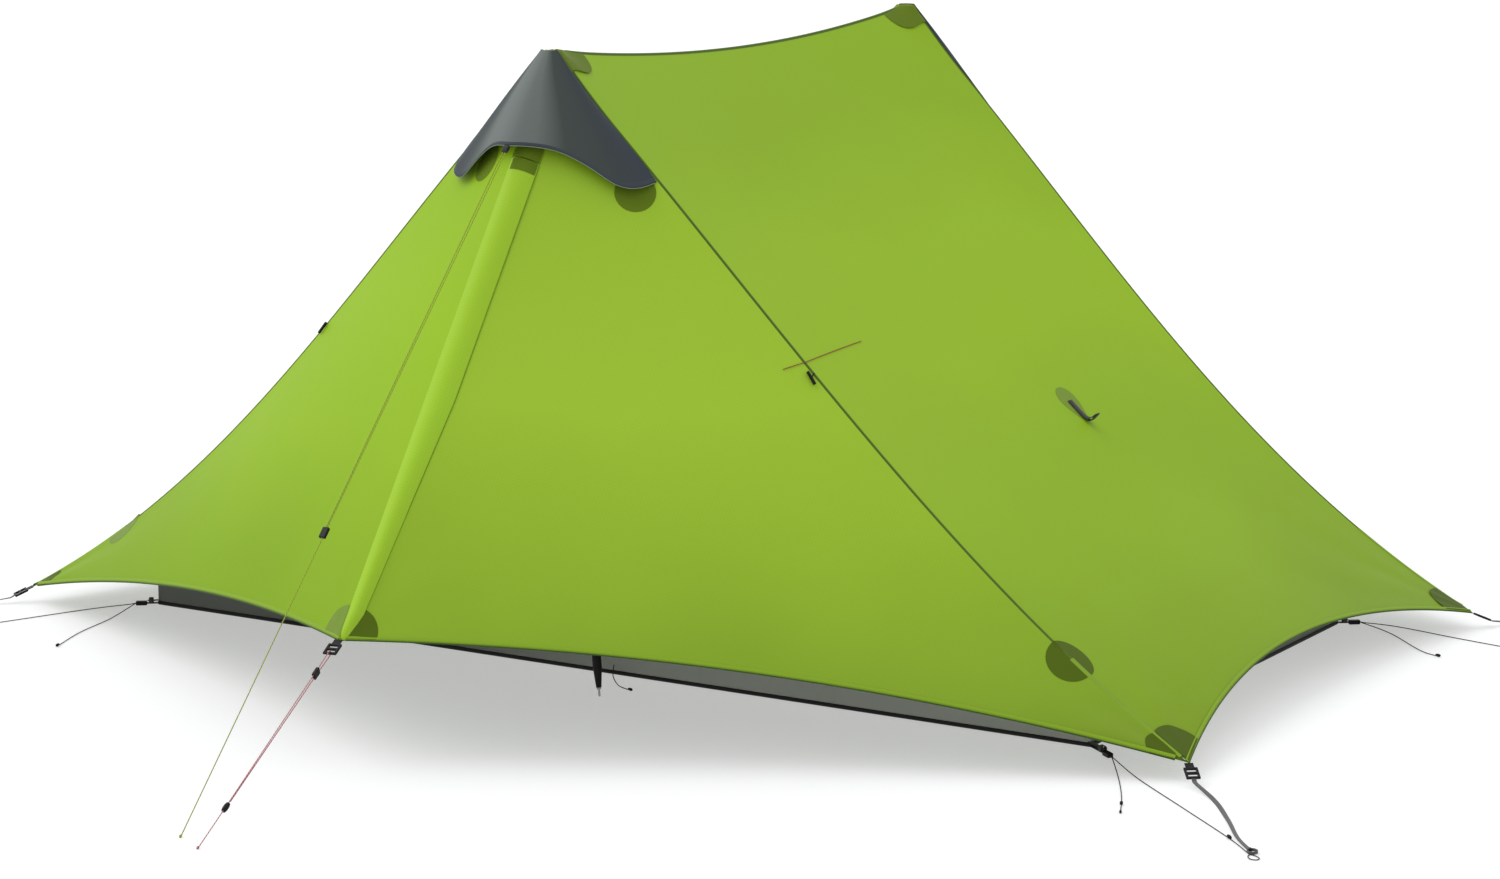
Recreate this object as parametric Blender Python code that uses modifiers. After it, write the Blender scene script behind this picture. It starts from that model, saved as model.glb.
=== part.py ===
"""Two-person ridge tent pitched on two trekking poles.

Frame: the origin lies on the ground under the middle of the tent, +X runs along the sleepers to the
end panel on the right, the front porch faces -Y, and +Z is up. All lengths are metres.

The outer tent is two sloping end panels that meet at the ridge, and a porch at the front and the rear.
Each porch is a fixed yoke and two door leaves, closed by a zip under a storm flap. Grey hoods cover the
vents over the two poles. Inside stand a bathtub floor and mesh walls with a door to each porch.

The tent looks the same when it is turned half round, so whatever stands at the rear is modelled in the
front's frame and carried by an empty that is turned 180 degrees about Z.

The skill feature is the cut of the outer tent: every seam and hem is a sagging or hollow curve, and the
sheets between them are lofts that share those curves, so that they stay in contact all the way.
"""

import math

import bmesh
import bpy
from mathutils import Matrix, Vector
from mathutils.bvhtree import BVHTree

# Outer tent: the pitched shape
APEX_HEIGHT = 1.250
RIDGE_LENGTH = 1.394
FOOT_LENGTH = 2.744
FOOT_WIDTH = 1.388
FOOT_HEIGHT = 0.034
PORCH_REACH = 0.699
PORCH_HEIGHT = 0.233
RIDGE_SAG = 0.042
SEAM_SAG = 0.066
SEAM_SAG_SKEW = 0.8
PORCH_HEM_HOLLOW = 0.050
END_HEM_HOLLOW = 0.124

# Cloth, and the gap between pieces that touch
CLOTH = 0.0015
GAP = 0.0003

# Doors: the leaf starts this far down the zip line, and stops this far short of the corner
DOOR_TOP_DROP = 0.230
CORNER_TRIM = 0.030
FLAP_WIDTH = 0.054
FLAP_TIP_WIDTH = 0.012
FLAP_TAPER = 0.250
FLAP_LIFT_PER_WIDTH = 0.37
FLAP_SPLIT_DROP = 0.490
PLEAT_ROOT = 0.0008
FLAP_ROOT = 0.004
PLEAT_SEAM = 0.019
FOLD_GAP = 0.0013

# Zip
CHAIN_WIDTH = 0.005
CHAIN_THICKNESS = 0.0016
CHAIN_INSET = 0.009
CHAIN_END_TRIM = 0.030
SLIDER_LENGTH = 0.013
SLIDER_PLATE = 0.0012
SLIDER_REST = 0.085
TAB_LENGTH = 0.022
TAB_WIDTH = 0.004

# Hoods: the crest stands off the zip line. The lower edge runs from it out to each lobe, as places
# down the zip line, across from it and out from the leaf, and its ends lie this far down the seams
HOOD_CREST_DOWN = 0.222
HOOD_CREST_OUT = 0.0282
HOOD_EDGE_RIGHT = (
    (0.2147, 0.0171, 0.0282), (0.2086, 0.0485, 0.0283), (0.2048, 0.0833, 0.0257), (0.2100, 0.1221, 0.0222),
    (0.2194, 0.1630, 0.0165), (0.2308, 0.1964, 0.0124), (0.2331, 0.2260, 0.0092), (0.2223, 0.2536, 0.0056),
)
HOOD_EDGE_LEFT = (
    (0.2155, 0.0174, 0.0277), (0.2094, 0.0555, 0.0231), (0.2152, 0.0912, 0.0189), (0.2299, 0.1223, 0.0151),
    (0.2447, 0.1464, 0.0118), (0.2484, 0.1731, 0.0075), (0.2379, 0.2006, 0.0063), (0.2177, 0.2271, 0.0026),
)
HOOD_RIGHT_RUN = 0.336
HOOD_LEFT_RUN = 0.312
HOOD_BOW = 0.005
HOOD_REST = CLOTH + 0.0012

# Guy loop under the hood's crest
LOOP_WIDTH = 0.012
LOOP_LENGTH = 0.016
LOOP_BAR = 0.0028
LOOP_THICKNESS = 0.0016

# Trekking poles: they stand beside the ridge's ends, and their tubes share out the apex's height
POLE_FOOT_X = 0.130
POLE_FOOT_Y = RIDGE_LENGTH / 2 + 0.043
POLE_TIP_RADIUS = 0.0022
POLE_TIP_LENGTH = 0.014
FERRULE_LENGTH = 0.078
FERRULE_RADIUS = 0.0088
LOWER_SHAFT_RADIUS = 0.0080
LOWER_SHAFT_WALL = 0.0014
LOWER_SHAFT_TOP = 0.56 * APEX_HEIGHT
UPPER_SHAFT_RADIUS = 0.0092
UPPER_SHAFT_BOTTOM = 0.48 * APEX_HEIGHT
UPPER_SHAFT_TOP = APEX_HEIGHT - 0.130
POLE_TRAVEL = 0.28 * APEX_HEIGHT
COLLAR_RADIUS = 0.0135
COLLAR_LENGTH = 0.042
LEVER_WIDTH = 0.012
LEVER_THICKNESS = 0.004
LEVER_LENGTH = 0.036
GRIP_BOTTOM = APEX_HEIGHT - 0.165
GRIP_RADIUS = 0.0150
GRIP_TOP_RADIUS = 0.0165

# Apex cups: closed thimbles in the apex that the grips push up into
CUP_WALL = 0.0022
CUP_DEPTH = 0.052

# Corner buckles and porch hooks
BUCKLE_LENGTH = 0.030
BUCKLE_WIDTH = 0.026
BUCKLE_THICKNESS = 0.0045
BUCKLE_BAR = 0.0040
BUCKLE_TAB_LENGTH = 0.014
BUCKLE_TAB_WIDTH = 0.016
BUCKLE_TAB_THICKNESS = 0.0016
PORCH_TAB_START = 0.0010

# Guylines
GUY_RADIUS = 0.0010
GUY_SPREAD = 0.0029
GUY_PINCH = 0.0014
APEX_GUY_FOOT = (0.055, -RIDGE_LENGTH / 2 - PORCH_REACH - 0.521)
APEX_TENSIONER_DOWN = 0.866
PORCH_GUY_FOOT = (0.124, -RIDGE_LENGTH / 2 - PORCH_REACH - 0.559)
PORCH_GUY_PINCH = 0.0030
PORCH_GUY_SPREAD = 0.0045
PORCH_TENSIONER_DOWN = 0.052
TENSIONER_LENGTH = 0.022
TENSIONER_WIDTH = 0.013
TENSIONER_THICKNESS = 0.0065
TENSIONER_SLOT_WIDTH = 0.0100

# Inner tent: it stands inside the outer one, with air all round it
INNER_LENGTH = FOOT_LENGTH - 0.504
INNER_WIDTH = FOOT_WIDTH - 0.230
TRAY_WALL = 0.120
TRAY_CLOTH = 0.0020
INNER_PEAK_Y = RIDGE_LENGTH / 2 - 0.097
INNER_PEAK_HEIGHT = APEX_HEIGHT - 0.210
INNER_RIDGE_SAG = 0.050
HANGER_WIDTH = 0.008
HANGER_THICKNESS = 0.0014

# Small hardware
LOCK_LENGTH = 0.024
LOCK_WIDTH = 0.012
LOCK_THICKNESS = 0.009
LOCK_CLEAR = 0.0004
TOGGLE_LENGTH = 0.028
TOGGLE_RADIUS = 0.0032
TOGGLE_STEM_RADIUS = 0.0012
TOGGLE_SEAM_RUN = 0.815
PULLOUT_RUN = 1.085
PULLOUT_OFFSET = 0.118
PULLOUT_WIDTH = 0.010
PULLOUT_THICKNESS = 0.0014
CORD_RADIUS = 0.0010
STRAP_RADIUS = 0.0020

GREEN = (0.290, 0.470, 0.043)
GREY = (0.085, 0.095, 0.100)
TRAY_GREY = (0.070, 0.068, 0.070)
MESH_GREY = (0.140, 0.140, 0.135)
BLACK = (0.012, 0.012, 0.013)
YELLOW = (0.560, 0.520, 0.030)
RED = (0.480, 0.120, 0.130)
ALUMINIUM = (0.600, 0.610, 0.620)
FOAM = (0.030, 0.030, 0.032)
WEBBING = (0.150, 0.150, 0.150)


def material(name, colour, roughness, metallic=0.0):
    """A Principled material with one colour."""
    made = bpy.data.materials.get(name)
    if made is None:
        made = bpy.data.materials.new(name)
        made.use_nodes = True
        shader = made.node_tree.nodes["Principled BSDF"]
        shader.inputs["Base Color"].default_value = (*colour, 1.0)
        shader.inputs["Roughness"].default_value = roughness
        shader.inputs["Metallic"].default_value = metallic
        made.diffuse_color = (*colour, 1.0)
    return made


def fly_cloth():
    return material("lime ripstop", GREEN, 0.45)


def hood_cloth():
    return material("grey ripstop", GREY, 0.50)


def floor_cloth():
    return material("coated floor cloth", TRAY_GREY, 0.55)


def mesh_cloth():
    return material("mosquito mesh", MESH_GREY, 0.80)


def black_plastic():
    return material("black plastic", BLACK, 0.40)


def grey_webbing():
    return material("webbing", WEBBING, 0.80)


def aluminium():
    return material("anodised aluminium", ALUMINIUM, 0.30, 1.0)


def grip_foam():
    return material("grip foam", FOAM, 0.90)


def cord_material(name, colour):
    return material(name, colour, 0.65)


# Collections and placing

def new_collection(name):
    made = bpy.data.collections.new(name)
    bpy.context.scene.collection.children.link(made)
    return made


def finish(obj, paint, home, smooth_angle=35.0):
    """Give an object its material and collection, and shade its round faces smooth."""
    obj.data.materials.clear()
    obj.data.materials.append(paint)
    for old in list(obj.users_collection):
        old.objects.unlink(obj)
    home.objects.link(obj)
    if obj.type == "MESH":
        obj.data.shade_smooth()
        obj.data.set_sharp_from_angle(angle=math.radians(smooth_angle))
    return obj


def new_object(name, data):
    obj = bpy.data.objects.new(name, data)
    bpy.context.scene.collection.objects.link(obj)
    return obj


def place(obj, carrier, location=(0.0, 0.0, 0.0), axes=None):
    """Carry an object on an empty, at a location and with its axes given as three columns."""
    obj.parent = carrier
    rotation = Matrix.Identity(3)
    if axes is not None:
        rotation = Matrix(axes).transposed()
    obj.matrix_basis = Matrix.Translation(Vector(location)) @ rotation.to_4x4()
    return obj


def axes_along(forward, up_hint):
    """Three axes: X along forward, Z as near to up_hint as it can be, and Y across."""
    x_axis = Vector(forward).normalized()
    y_axis = Vector(up_hint).cross(x_axis).normalized()
    z_axis = x_axis.cross(y_axis).normalized()
    return x_axis, y_axis, z_axis


# Modelling helpers

def block(name, size, centre=(0.0, 0.0, 0.0), bevel=0.0):
    """A box with rounded edges, its sizes along X, Y and Z."""
    mesh = bpy.data.meshes.new(name)
    form = bmesh.new()
    bmesh.ops.create_cube(form, size=1.0)
    bmesh.ops.scale(form, vec=Vector(size), verts=form.verts)
    bmesh.ops.translate(form, vec=Vector(centre), verts=form.verts)
    form.to_mesh(mesh)
    form.free()
    obj = new_object(name, mesh)
    if bevel > 0.0:
        rounding = obj.modifiers.new("rounding", "BEVEL")
        rounding.width = bevel
        rounding.segments = 2
        rounding.limit_method = "ANGLE"
    return obj


def turned(name, profile, steps=20):
    """A turned piece: the profile runs down its outer side, top to bottom."""
    mesh = bpy.data.meshes.new(name)
    edges = [(i, i + 1) for i in range(len(profile) - 1)]
    mesh.from_pydata([(radius, 0.0, height) for radius, height in profile], edges, [])
    obj = new_object(name, mesh)
    screw = obj.modifiers.new("turning", "SCREW")
    screw.steps = steps
    screw.render_steps = steps
    screw.use_merge_vertices = True
    screw.merge_threshold = 0.00005
    return obj


def smooth_route(points, count):
    """Even points on a smooth curve through the given ones."""
    dense = []
    ends = [points[0] * 2 - points[1]] + list(points) + [points[-1] * 2 - points[-2]]
    for p0, p1, p2, p3 in zip(ends, ends[1:], ends[2:], ends[3:]):
        for step in range(24):
            t = step / 24
            bend = (p1 * 2 + (p2 - p0) * t + (p0 * 2 - p1 * 5 + p2 * 4 - p3) * t * t
                    + (p1 * 3 - p0 - p2 * 3 + p3) * t * t * t)
            dense.append(bend * 0.5)
    dense.append(points[-1])
    runs = [0.0]
    for first, second in zip(dense, dense[1:]):
        runs.append(runs[-1] + (second - first).length)
    even = []
    place_in = 0
    for step in range(count):
        target = runs[-1] * step / (count - 1)
        while place_in < len(runs) - 2 and runs[place_in + 1] < target:
            place_in += 1
        span = max(runs[place_in + 1] - runs[place_in], 1e-9)
        share = (target - runs[place_in]) / span
        even.append(dense[place_in].lerp(dense[place_in + 1], min(share, 1.0)))
    return even


def tube(name, points, radius):
    """A round tube along the points, with filled ends."""
    curve = bpy.data.curves.new(name, "CURVE")
    curve.dimensions = "3D"
    curve.bevel_depth = radius
    curve.bevel_resolution = 2
    curve.use_fill_caps = True
    spline = curve.splines.new("POLY")
    spline.points.add(len(points) - 1)
    for point, target in zip(spline.points, points):
        point.co = (*target, 1.0)
    return new_object(name, curve)


def as_mesh(obj):
    """A curve object's tube as a welded mesh object of the same name and place."""
    graph = bpy.context.evaluated_depsgraph_get()
    mesh = bpy.data.meshes.new_from_object(obj.evaluated_get(graph))
    form = bmesh.new()
    form.from_mesh(mesh)
    bmesh.ops.remove_doubles(form, verts=form.verts, dist=0.00001)
    form.to_mesh(mesh)
    form.free()
    name = obj.name
    made = new_object(name + "_mesh", mesh)
    made.matrix_world = obj.matrix_world
    bpy.data.objects.remove(obj)
    made.name = name
    return made


def boolean(obj, tool, operation):
    """Cut obj with tool, or join tool to it, and keep tool as a hidden wire guide."""
    step = obj.modifiers.new(operation.lower(), "BOOLEAN")
    step.operation = operation
    step.solver = "EXACT"
    step.object = tool
    for old in list(tool.users_collection):
        old.objects.unlink(tool)
    bpy.data.collections["cutters"].objects.link(tool)
    tool.hide_render = True
    tool.display_type = "WIRE"
    return obj


def sheet(name, surface, columns, rows, outward, thickness=CLOTH, origin=Vector((0.0, 0.0, 0.0))):
    """A cloth sheet: a grid laid on surface(u, v), thickened to the outward side."""
    mesh = bpy.data.meshes.new(name)
    form = bmesh.new()
    bmesh.ops.create_grid(form, x_segments=columns, y_segments=rows, size=0.5)
    for vert in form.verts:
        u = min(max(vert.co.x + 0.5, 0.0), 1.0)
        v = min(max(vert.co.y + 0.5, 0.0), 1.0)
        vert.co = surface(u, v) - origin
    bmesh.ops.remove_doubles(form, verts=form.verts, dist=0.00002)
    form.normal_update()
    facing = sum((face.normal * face.calc_area() for face in form.faces), Vector())
    if facing.dot(outward) < 0.0:
        bmesh.ops.reverse_faces(form, faces=form.faces)
    form.to_mesh(mesh)
    form.free()
    obj = new_object(name, mesh)
    solid = obj.modifiers.new("thickness", "SOLIDIFY")
    solid.thickness = thickness
    solid.offset = 1.0
    solid.use_even_offset = False
    return obj


def strip(name, route, across, width, thickness):
    """A flat strap: an open strip along the route, thickened to both sides."""
    mesh = bpy.data.meshes.new(name)
    side = Vector(across).normalized() * (width / 2)
    count = len(route)
    verts = [point - side for point in route] + [point + side for point in route]
    faces = [(i, i + 1, count + i + 1, count + i) for i in range(count - 1)]
    mesh.from_pydata(verts, [], faces)
    obj = new_object(name, mesh)
    solid = obj.modifiers.new("thickness", "SOLIDIFY")
    solid.thickness = thickness
    solid.offset = 0.0
    return obj


# Shape of the outer tent, in the front's frame

APEX = Vector((0.0, -RIDGE_LENGTH / 2, APEX_HEIGHT))
FOOT = Vector((FOOT_LENGTH / 2, -FOOT_WIDTH / 2, FOOT_HEIGHT))
PORCH = Vector((0.0, -RIDGE_LENGTH / 2 - PORCH_REACH, PORCH_HEIGHT))
MIRROR_X = Matrix.Diagonal((-1.0, 1.0, 1.0))
MIRROR_Y = Matrix.Diagonal((1.0, -1.0, 1.0))

END_NORMAL = (FOOT - APEX).cross(Vector((0.0, 1.0, 0.0))).normalized() * -1.0
DOOR_NORMAL = (PORCH - APEX).cross(FOOT - APEX).normalized()
if END_NORMAL.z < 0.0:
    END_NORMAL = -END_NORMAL
if DOOR_NORMAL.z < 0.0:
    DOOR_NORMAL = -DOOR_NORMAL
SEAM_INWARD = -(END_NORMAL + DOOR_NORMAL).normalized()
SEAM_LENGTH = (FOOT - APEX).length
ZIP_LENGTH = (PORCH - APEX).length
ZIP_DOWN = (PORCH - APEX) / ZIP_LENGTH
ZIP_ACROSS = DOOR_NORMAL.cross(ZIP_DOWN).normalized()
if ZIP_ACROSS.x < 0.0:
    ZIP_ACROSS = -ZIP_ACROSS
FOOT_TO_ZIP = (FOOT - APEX).dot(ZIP_ACROSS)
DOOR_TOP_SHARE = DOOR_TOP_DROP / ZIP_LENGTH
CORNER_SHARE = 1.0 - CORNER_TRIM / SEAM_LENGTH
SEAM_TO_DOOR = DOOR_NORMAL.cross((FOOT - APEX).normalized())
if SEAM_TO_DOOR.z > 0.0:
    SEAM_TO_DOOR = -SEAM_TO_DOOR


def seam_point(t):
    """The seam from the apex to the foot corner, sagging towards the inside."""
    sag = SEAM_SAG * 4.0 * t * (1.0 - t) * (1.0 + SEAM_SAG_SKEW * (2.0 * t - 1.0))
    return APEX.lerp(FOOT, t) + SEAM_INWARD * sag


def porch_hem_point(s):
    """The hem from the porch point to the foot corner, cut hollow in the door's plane."""
    up = DOOR_NORMAL.cross((FOOT - PORCH).normalized())
    if up.z < 0.0:
        up = -up
    return PORCH.lerp(FOOT, s) + up * (PORCH_HEM_HOLLOW * 4.0 * s * (1.0 - s))


def door_point(s, q):
    """The right half of the porch: s from the zip line to the corner, q from the seam to the hem."""
    return seam_point(s).lerp(porch_hem_point(s), q)


def end_hem_point(u):
    """The hem of the end panel, from the front corner to the rear one, cut deep and hollow."""
    rear = MIRROR_Y @ FOOT
    up_slope = (APEX - FOOT)
    up_slope.y = 0.0
    return FOOT.lerp(rear, u) + up_slope.normalized() * (END_HEM_HOLLOW * 4.0 * u * (1.0 - u))


def ridge_point(u):
    """The ridge from the front apex to the rear one."""
    point = APEX.lerp(MIRROR_Y @ APEX, u)
    point.z -= RIDGE_SAG * 4.0 * u * (1.0 - u)
    return point


def end_point(u, v):
    """The right end panel: u from the front seam to the rear one, v from the ridge to the hem."""
    front = seam_point(v)
    rear = MIRROR_Y @ seam_point(v)
    across = front.lerp(rear, u)
    along = ridge_point(u).lerp(end_hem_point(u), v)
    corners = APEX.lerp(MIRROR_Y @ APEX, u).lerp(FOOT.lerp(MIRROR_Y @ FOOT, u), v)
    return across + along - corners


def surface_normal(surface, u, v, outward):
    """The unit normal of a surface at u, v on its outward side."""
    step = 0.001
    du = surface(u + step, v) - surface(u - step, v)
    dv = surface(u, v + step) - surface(u, v - step)
    normal = du.cross(dv).normalized()
    if normal.dot(outward) < 0.0:
        normal = -normal
    return normal


def pole_foot():
    return Vector((POLE_FOOT_X, -POLE_FOOT_Y, GAP))


def pole_up():
    return (APEX - pole_foot()).normalized()


def zip_point(down, across=0.0, out=0.0):
    """A place beside the zip line: down it from the apex, across to the right, and outwards."""
    return APEX + ZIP_DOWN * down + ZIP_ACROSS * across + DOOR_NORMAL * out


def hood_crest():
    """The top of the hood's lower edge, which stands straight off the zip line."""
    off = Vector((0.0, ZIP_DOWN.z, -ZIP_DOWN.y))
    return APEX + ZIP_DOWN * HOOD_CREST_DOWN + off * HOOD_CREST_OUT


def hood_edge_points(side):
    """The hood's lower edge from its crest to its end on the right seam, or mirrored for the left."""
    given = HOOD_EDGE_RIGHT if side > 0 else HOOD_EDGE_LEFT
    run = HOOD_RIGHT_RUN if side > 0 else HOOD_LEFT_RUN
    end = seam_point(run / SEAM_LENGTH) + SEAM_TO_DOOR * 0.004
    edge = [hood_crest()]
    edge.extend(zip_point(*place_at) for place_at in given)
    edge.append(end + DOOR_NORMAL * HOOD_REST)
    if side < 0:
        edge = [MIRROR_X @ point for point in edge]
    return edge


HOOD_LEFT_EDGE = hood_edge_points(-1)
HOOD_POINTS = HOOD_LEFT_EDGE[:0:-1] + hood_edge_points(1)


def hood_point(u, v):
    """The hood: u from the left seam to the right one, v from the apex to the lower edge."""
    spans = len(HOOD_POINTS) - 1
    place_in = min(int(u * spans), spans - 1)
    low = HOOD_POINTS[place_in].lerp(HOOD_POINTS[place_in + 1], u * spans - place_in)
    side = 1.0 if u >= 0.5 else -1.0
    normal = Vector((DOOR_NORMAL.x * side, DOOR_NORMAL.y, DOOR_NORMAL.z))
    share = abs(2.0 * u - 1.0)
    lift_way = (normal * share + Vector((0.0, -0.82, 0.57)) * (1.0 - share)).normalized()
    top = APEX + lift_way * (3.0 * CLOTH)
    return top.lerp(low, v) + lift_way * (HOOD_BOW * 4.0 * v * (1.0 - v))


def build_end_panel(name, carrier, home):
    """A sloping end panel, from the ridge to its hollow hem."""
    ridge_inset = GAP / SEAM_LENGTH
    seam_inset = GAP / FOOT_WIDTH

    def surface(u, v):
        return end_point(seam_inset + u * (1.0 - 2.0 * seam_inset), ridge_inset + v * (1.0 - ridge_inset))

    panel = sheet(name, surface, 12, 12, END_NORMAL)
    place(panel, carrier)
    for side in (1.0, -1.0):
        hole = apex_cutter(name + "_apex_cut", side)
        place(hole, carrier, hole.location, hole_axes(side))
        boolean(panel, hole, "DIFFERENCE")
    return finish(panel, fly_cloth(), home)


def cup_axes():
    return axes_along(pole_up().cross(Vector((0.0, 1.0, 0.0))), pole_up())


def hole_axes(side):
    """Axes of the apex cutter at the front, or at the rear, where the pole leans the other way."""
    axes = cup_axes()
    if side > 0:
        return axes
    turn = Matrix.Rotation(math.pi, 3, "Z")
    return [turn @ axis for axis in axes]


def cup_radius():
    return GRIP_TOP_RADIUS + GAP + CUP_WALL


def apex_cutter(name, side):
    """A cylinder on the pole's axis that clears the apex cup."""
    mesh = bpy.data.meshes.new(name)
    form = bmesh.new()
    radius = cup_radius() + GAP
    bmesh.ops.create_cone(form, cap_ends=True, segments=20, radius1=radius, radius2=radius, depth=0.120)
    form.to_mesh(mesh)
    form.free()
    obj = new_object(name, mesh)
    place_at = APEX if side > 0 else Matrix.Rotation(math.pi, 3, "Z") @ APEX
    obj.location = place_at
    return obj


def build_yoke(name, carrier, home):
    """The fixed top of a porch: from both seams down to the fold line of each leaf."""
    def surface(u, v):
        s = abs(2.0 * u - 1.0) * CORNER_SHARE
        point = door_point(s, v * DOOR_TOP_SHARE) + SEAM_TO_DOOR * GAP
        if s < 1e-6:
            point.x = 0.0
        if u < 0.5:
            point.x = -point.x
        return point

    yoke = sheet(name, surface, 24, 3, Vector((0.0, -1.0, 0.5)))
    place(yoke, carrier)
    hole = apex_cutter(name + "_apex_cut", 1.0)
    place(hole, carrier, hole.location, hole_axes(1.0))
    boolean(yoke, hole, "DIFFERENCE")
    return finish(yoke, fly_cloth(), home)


def door_top():
    return APEX + ZIP_DOWN * DOOR_TOP_DROP


def door_axis_point():
    """A point on the right leaf's fold axis, just outside the leaf's outer face."""
    return door_top() + DOOR_NORMAL * (CLOTH + GAP)


def flap_width(q):
    """The storm flap's width, which tapers towards the porch point."""
    from_hem = (1.0 - q) * ZIP_LENGTH
    share = min(from_hem / FLAP_TAPER, 1.0)
    return FLAP_TIP_WIDTH + (FLAP_WIDTH - FLAP_TIP_WIDTH) * math.sin(share * math.pi / 2.0)


def flap_place(drop, out):
    """A place on the storm flap: a drop down the zip line, and out from it over the right leaf."""
    width = flap_width(drop / ZIP_LENGTH)
    lift = width * FLAP_LIFT_PER_WIDTH * (1.0 - (1.0 - min(out / width, 1.0)) ** 2)
    return APEX + ZIP_DOWN * drop + ZIP_ACROSS * out + DOOR_NORMAL * lift


def build_pleat(name, carrier):
    """The top of the storm flap. It is sewn to the right leaf, so that it clears the apex guy."""
    top = DOOR_TOP_DROP + 2.0 * FOLD_GAP
    end = FLAP_SPLIT_DROP - 3.0 * GAP

    def surface(u, v):
        return flap_place(top + v * (end - top), PLEAT_ROOT + u * (FLAP_WIDTH - PLEAT_ROOT))

    def web(u, v):
        drop = top + 0.010 + v * (end - top - 0.012)
        height = flap_place(drop, PLEAT_SEAM) + DOOR_NORMAL * (CLOTH * 0.5)
        low = zip_point(drop, PLEAT_SEAM, -0.0006)
        return low.lerp(height, u)

    pleat = sheet(name, surface, 5, 4, DOOR_NORMAL, origin=door_axis_point())
    seam = sheet(name + "_seam", web, 1, 4, ZIP_ACROSS, origin=door_axis_point())
    for piece in (pleat, seam):
        place(piece, carrier, door_axis_point())
    return pleat, seam


def build_door_right(name, carrier, home):
    """The leaf to the right of the zip. Its origin lies on its fold axis."""
    edge = CHAIN_INSET + CHAIN_WIDTH + GAP
    start = edge / FOOT_TO_ZIP

    def surface(u, v):
        s = start + u * (CORNER_SHARE - start)
        q = DOOR_TOP_SHARE + v * (1.0 - DOOR_TOP_SHARE)
        point = door_point(s, q) + SEAM_TO_DOOR * (FOLD_GAP * (1.0 - v))
        if u < 1e-6:
            down = (point - APEX).dot(ZIP_DOWN)
            point = zip_point(down, edge)
        return point

    leaf = sheet(name, surface, 11, 9, DOOR_NORMAL, origin=door_axis_point())
    place(leaf, carrier, door_axis_point())
    pleat, seam = build_pleat(name + "_pleat", carrier)
    boolean(leaf, seam, "UNION")
    boolean(leaf, pleat, "UNION")
    return finish(leaf, fly_cloth(), home)


def build_door_left(name, carrier, home):
    """The leaf to the left of the zip, with the storm flap that covers the zip below the pleat."""
    normal = MIRROR_X @ DOOR_NORMAL
    origin = MIRROR_X @ door_axis_point()

    def surface(u, v):
        q = DOOR_TOP_SHARE + v * (1.0 - DOOR_TOP_SHARE)
        s = u * CORNER_SHARE
        point = door_point(s, q) + SEAM_TO_DOOR * (FOLD_GAP * (1.0 - v))
        if u < 1e-6:
            point.x = 0.0
        return MIRROR_X @ point

    def flap(u, v):
        drop = FLAP_SPLIT_DROP + v * (ZIP_LENGTH - 0.0012 - FLAP_SPLIT_DROP)
        if u < 0.01:
            start = APEX + ZIP_DOWN * drop
            return start + (MIRROR_X @ ZIP_ACROSS) * FLAP_ROOT + normal * (CLOTH * 0.5)
        out = (u - 0.2) / 0.8 * flap_width(drop / ZIP_LENGTH)
        return flap_place(drop, max(out, 0.0)) + DOOR_NORMAL * (CLOTH * 0.3)

    leaf = sheet(name, surface, 11, 9, normal, origin=origin)
    storm_flap = sheet(name + "_flap", flap, 5, 7, DOOR_NORMAL, origin=origin)
    place(leaf, carrier, origin)
    place(storm_flap, carrier, origin)
    boolean(leaf, storm_flap, "UNION")
    return finish(leaf, fly_cloth(), home)


def build_zip(side_name, carrier, home):
    """The zip chain along the right leaf's edge, and its slider with a pull tab."""
    axes = (ZIP_DOWN, ZIP_ACROSS, ZIP_DOWN.cross(ZIP_ACROSS))
    out_sign = 1.0 if axes[2].dot(DOOR_NORMAL) > 0.0 else -1.0
    length = ZIP_LENGTH - DOOR_TOP_DROP - 2.0 * CHAIN_END_TRIM
    middle = zip_point(DOOR_TOP_DROP + CHAIN_END_TRIM + length / 2, CHAIN_INSET + CHAIN_WIDTH / 2,
                       CHAIN_THICKNESS / 2)
    chain = block(side_name + "_zip_chain", (length, CHAIN_WIDTH, CHAIN_THICKNESS))
    place(chain, carrier, middle, axes)
    finish(chain, black_plastic(), home)

    web = CHAIN_WIDTH / 2 + GAP
    shell_width = web + SLIDER_PLATE + CHAIN_WIDTH * 0.38
    shell_height = CHAIN_THICKNESS + 2.0 * (GAP + SLIDER_PLATE)
    slider = block(side_name + "_zip_slider", (SLIDER_LENGTH, shell_width, shell_height),
                   (0.0, shell_width / 2 - web - SLIDER_PLATE, 0.0))
    channel = block(side_name + "_slider_channel",
                    (SLIDER_LENGTH * 2, CHAIN_WIDTH * 2, CHAIN_THICKNESS + 2.0 * GAP),
                    (0.0, CHAIN_WIDTH - web, 0.0))
    tab = block(side_name + "_slider_tab", (TAB_LENGTH, TAB_WIDTH, 0.0010),
                (TAB_LENGTH / 2 - 0.002, -SLIDER_PLATE, out_sign * (shell_height / 2 + 0.0003)))
    rest = zip_point(ZIP_LENGTH - SLIDER_REST, CHAIN_INSET + CHAIN_WIDTH / 2, CHAIN_THICKNESS / 2)
    for piece in (slider, channel, tab):
        place(piece, carrier, rest, axes)
    boolean(slider, channel, "DIFFERENCE")
    boolean(slider, tab, "UNION")
    finish(slider, black_plastic(), home)


def build_hood(name, carrier, home):
    """The grey vent hood over the apex."""
    hood = sheet(name, hood_point, len(HOOD_POINTS) - 1, 6, Vector((0.0, -1.0, 0.5)))
    place(hood, carrier)
    hole = apex_cutter(name + "_apex_cut", 1.0)
    place(hole, carrier, hole.location, hole_axes(1.0))
    boolean(hood, hole, "DIFFERENCE")
    return finish(hood, hood_cloth(), home)


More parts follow.
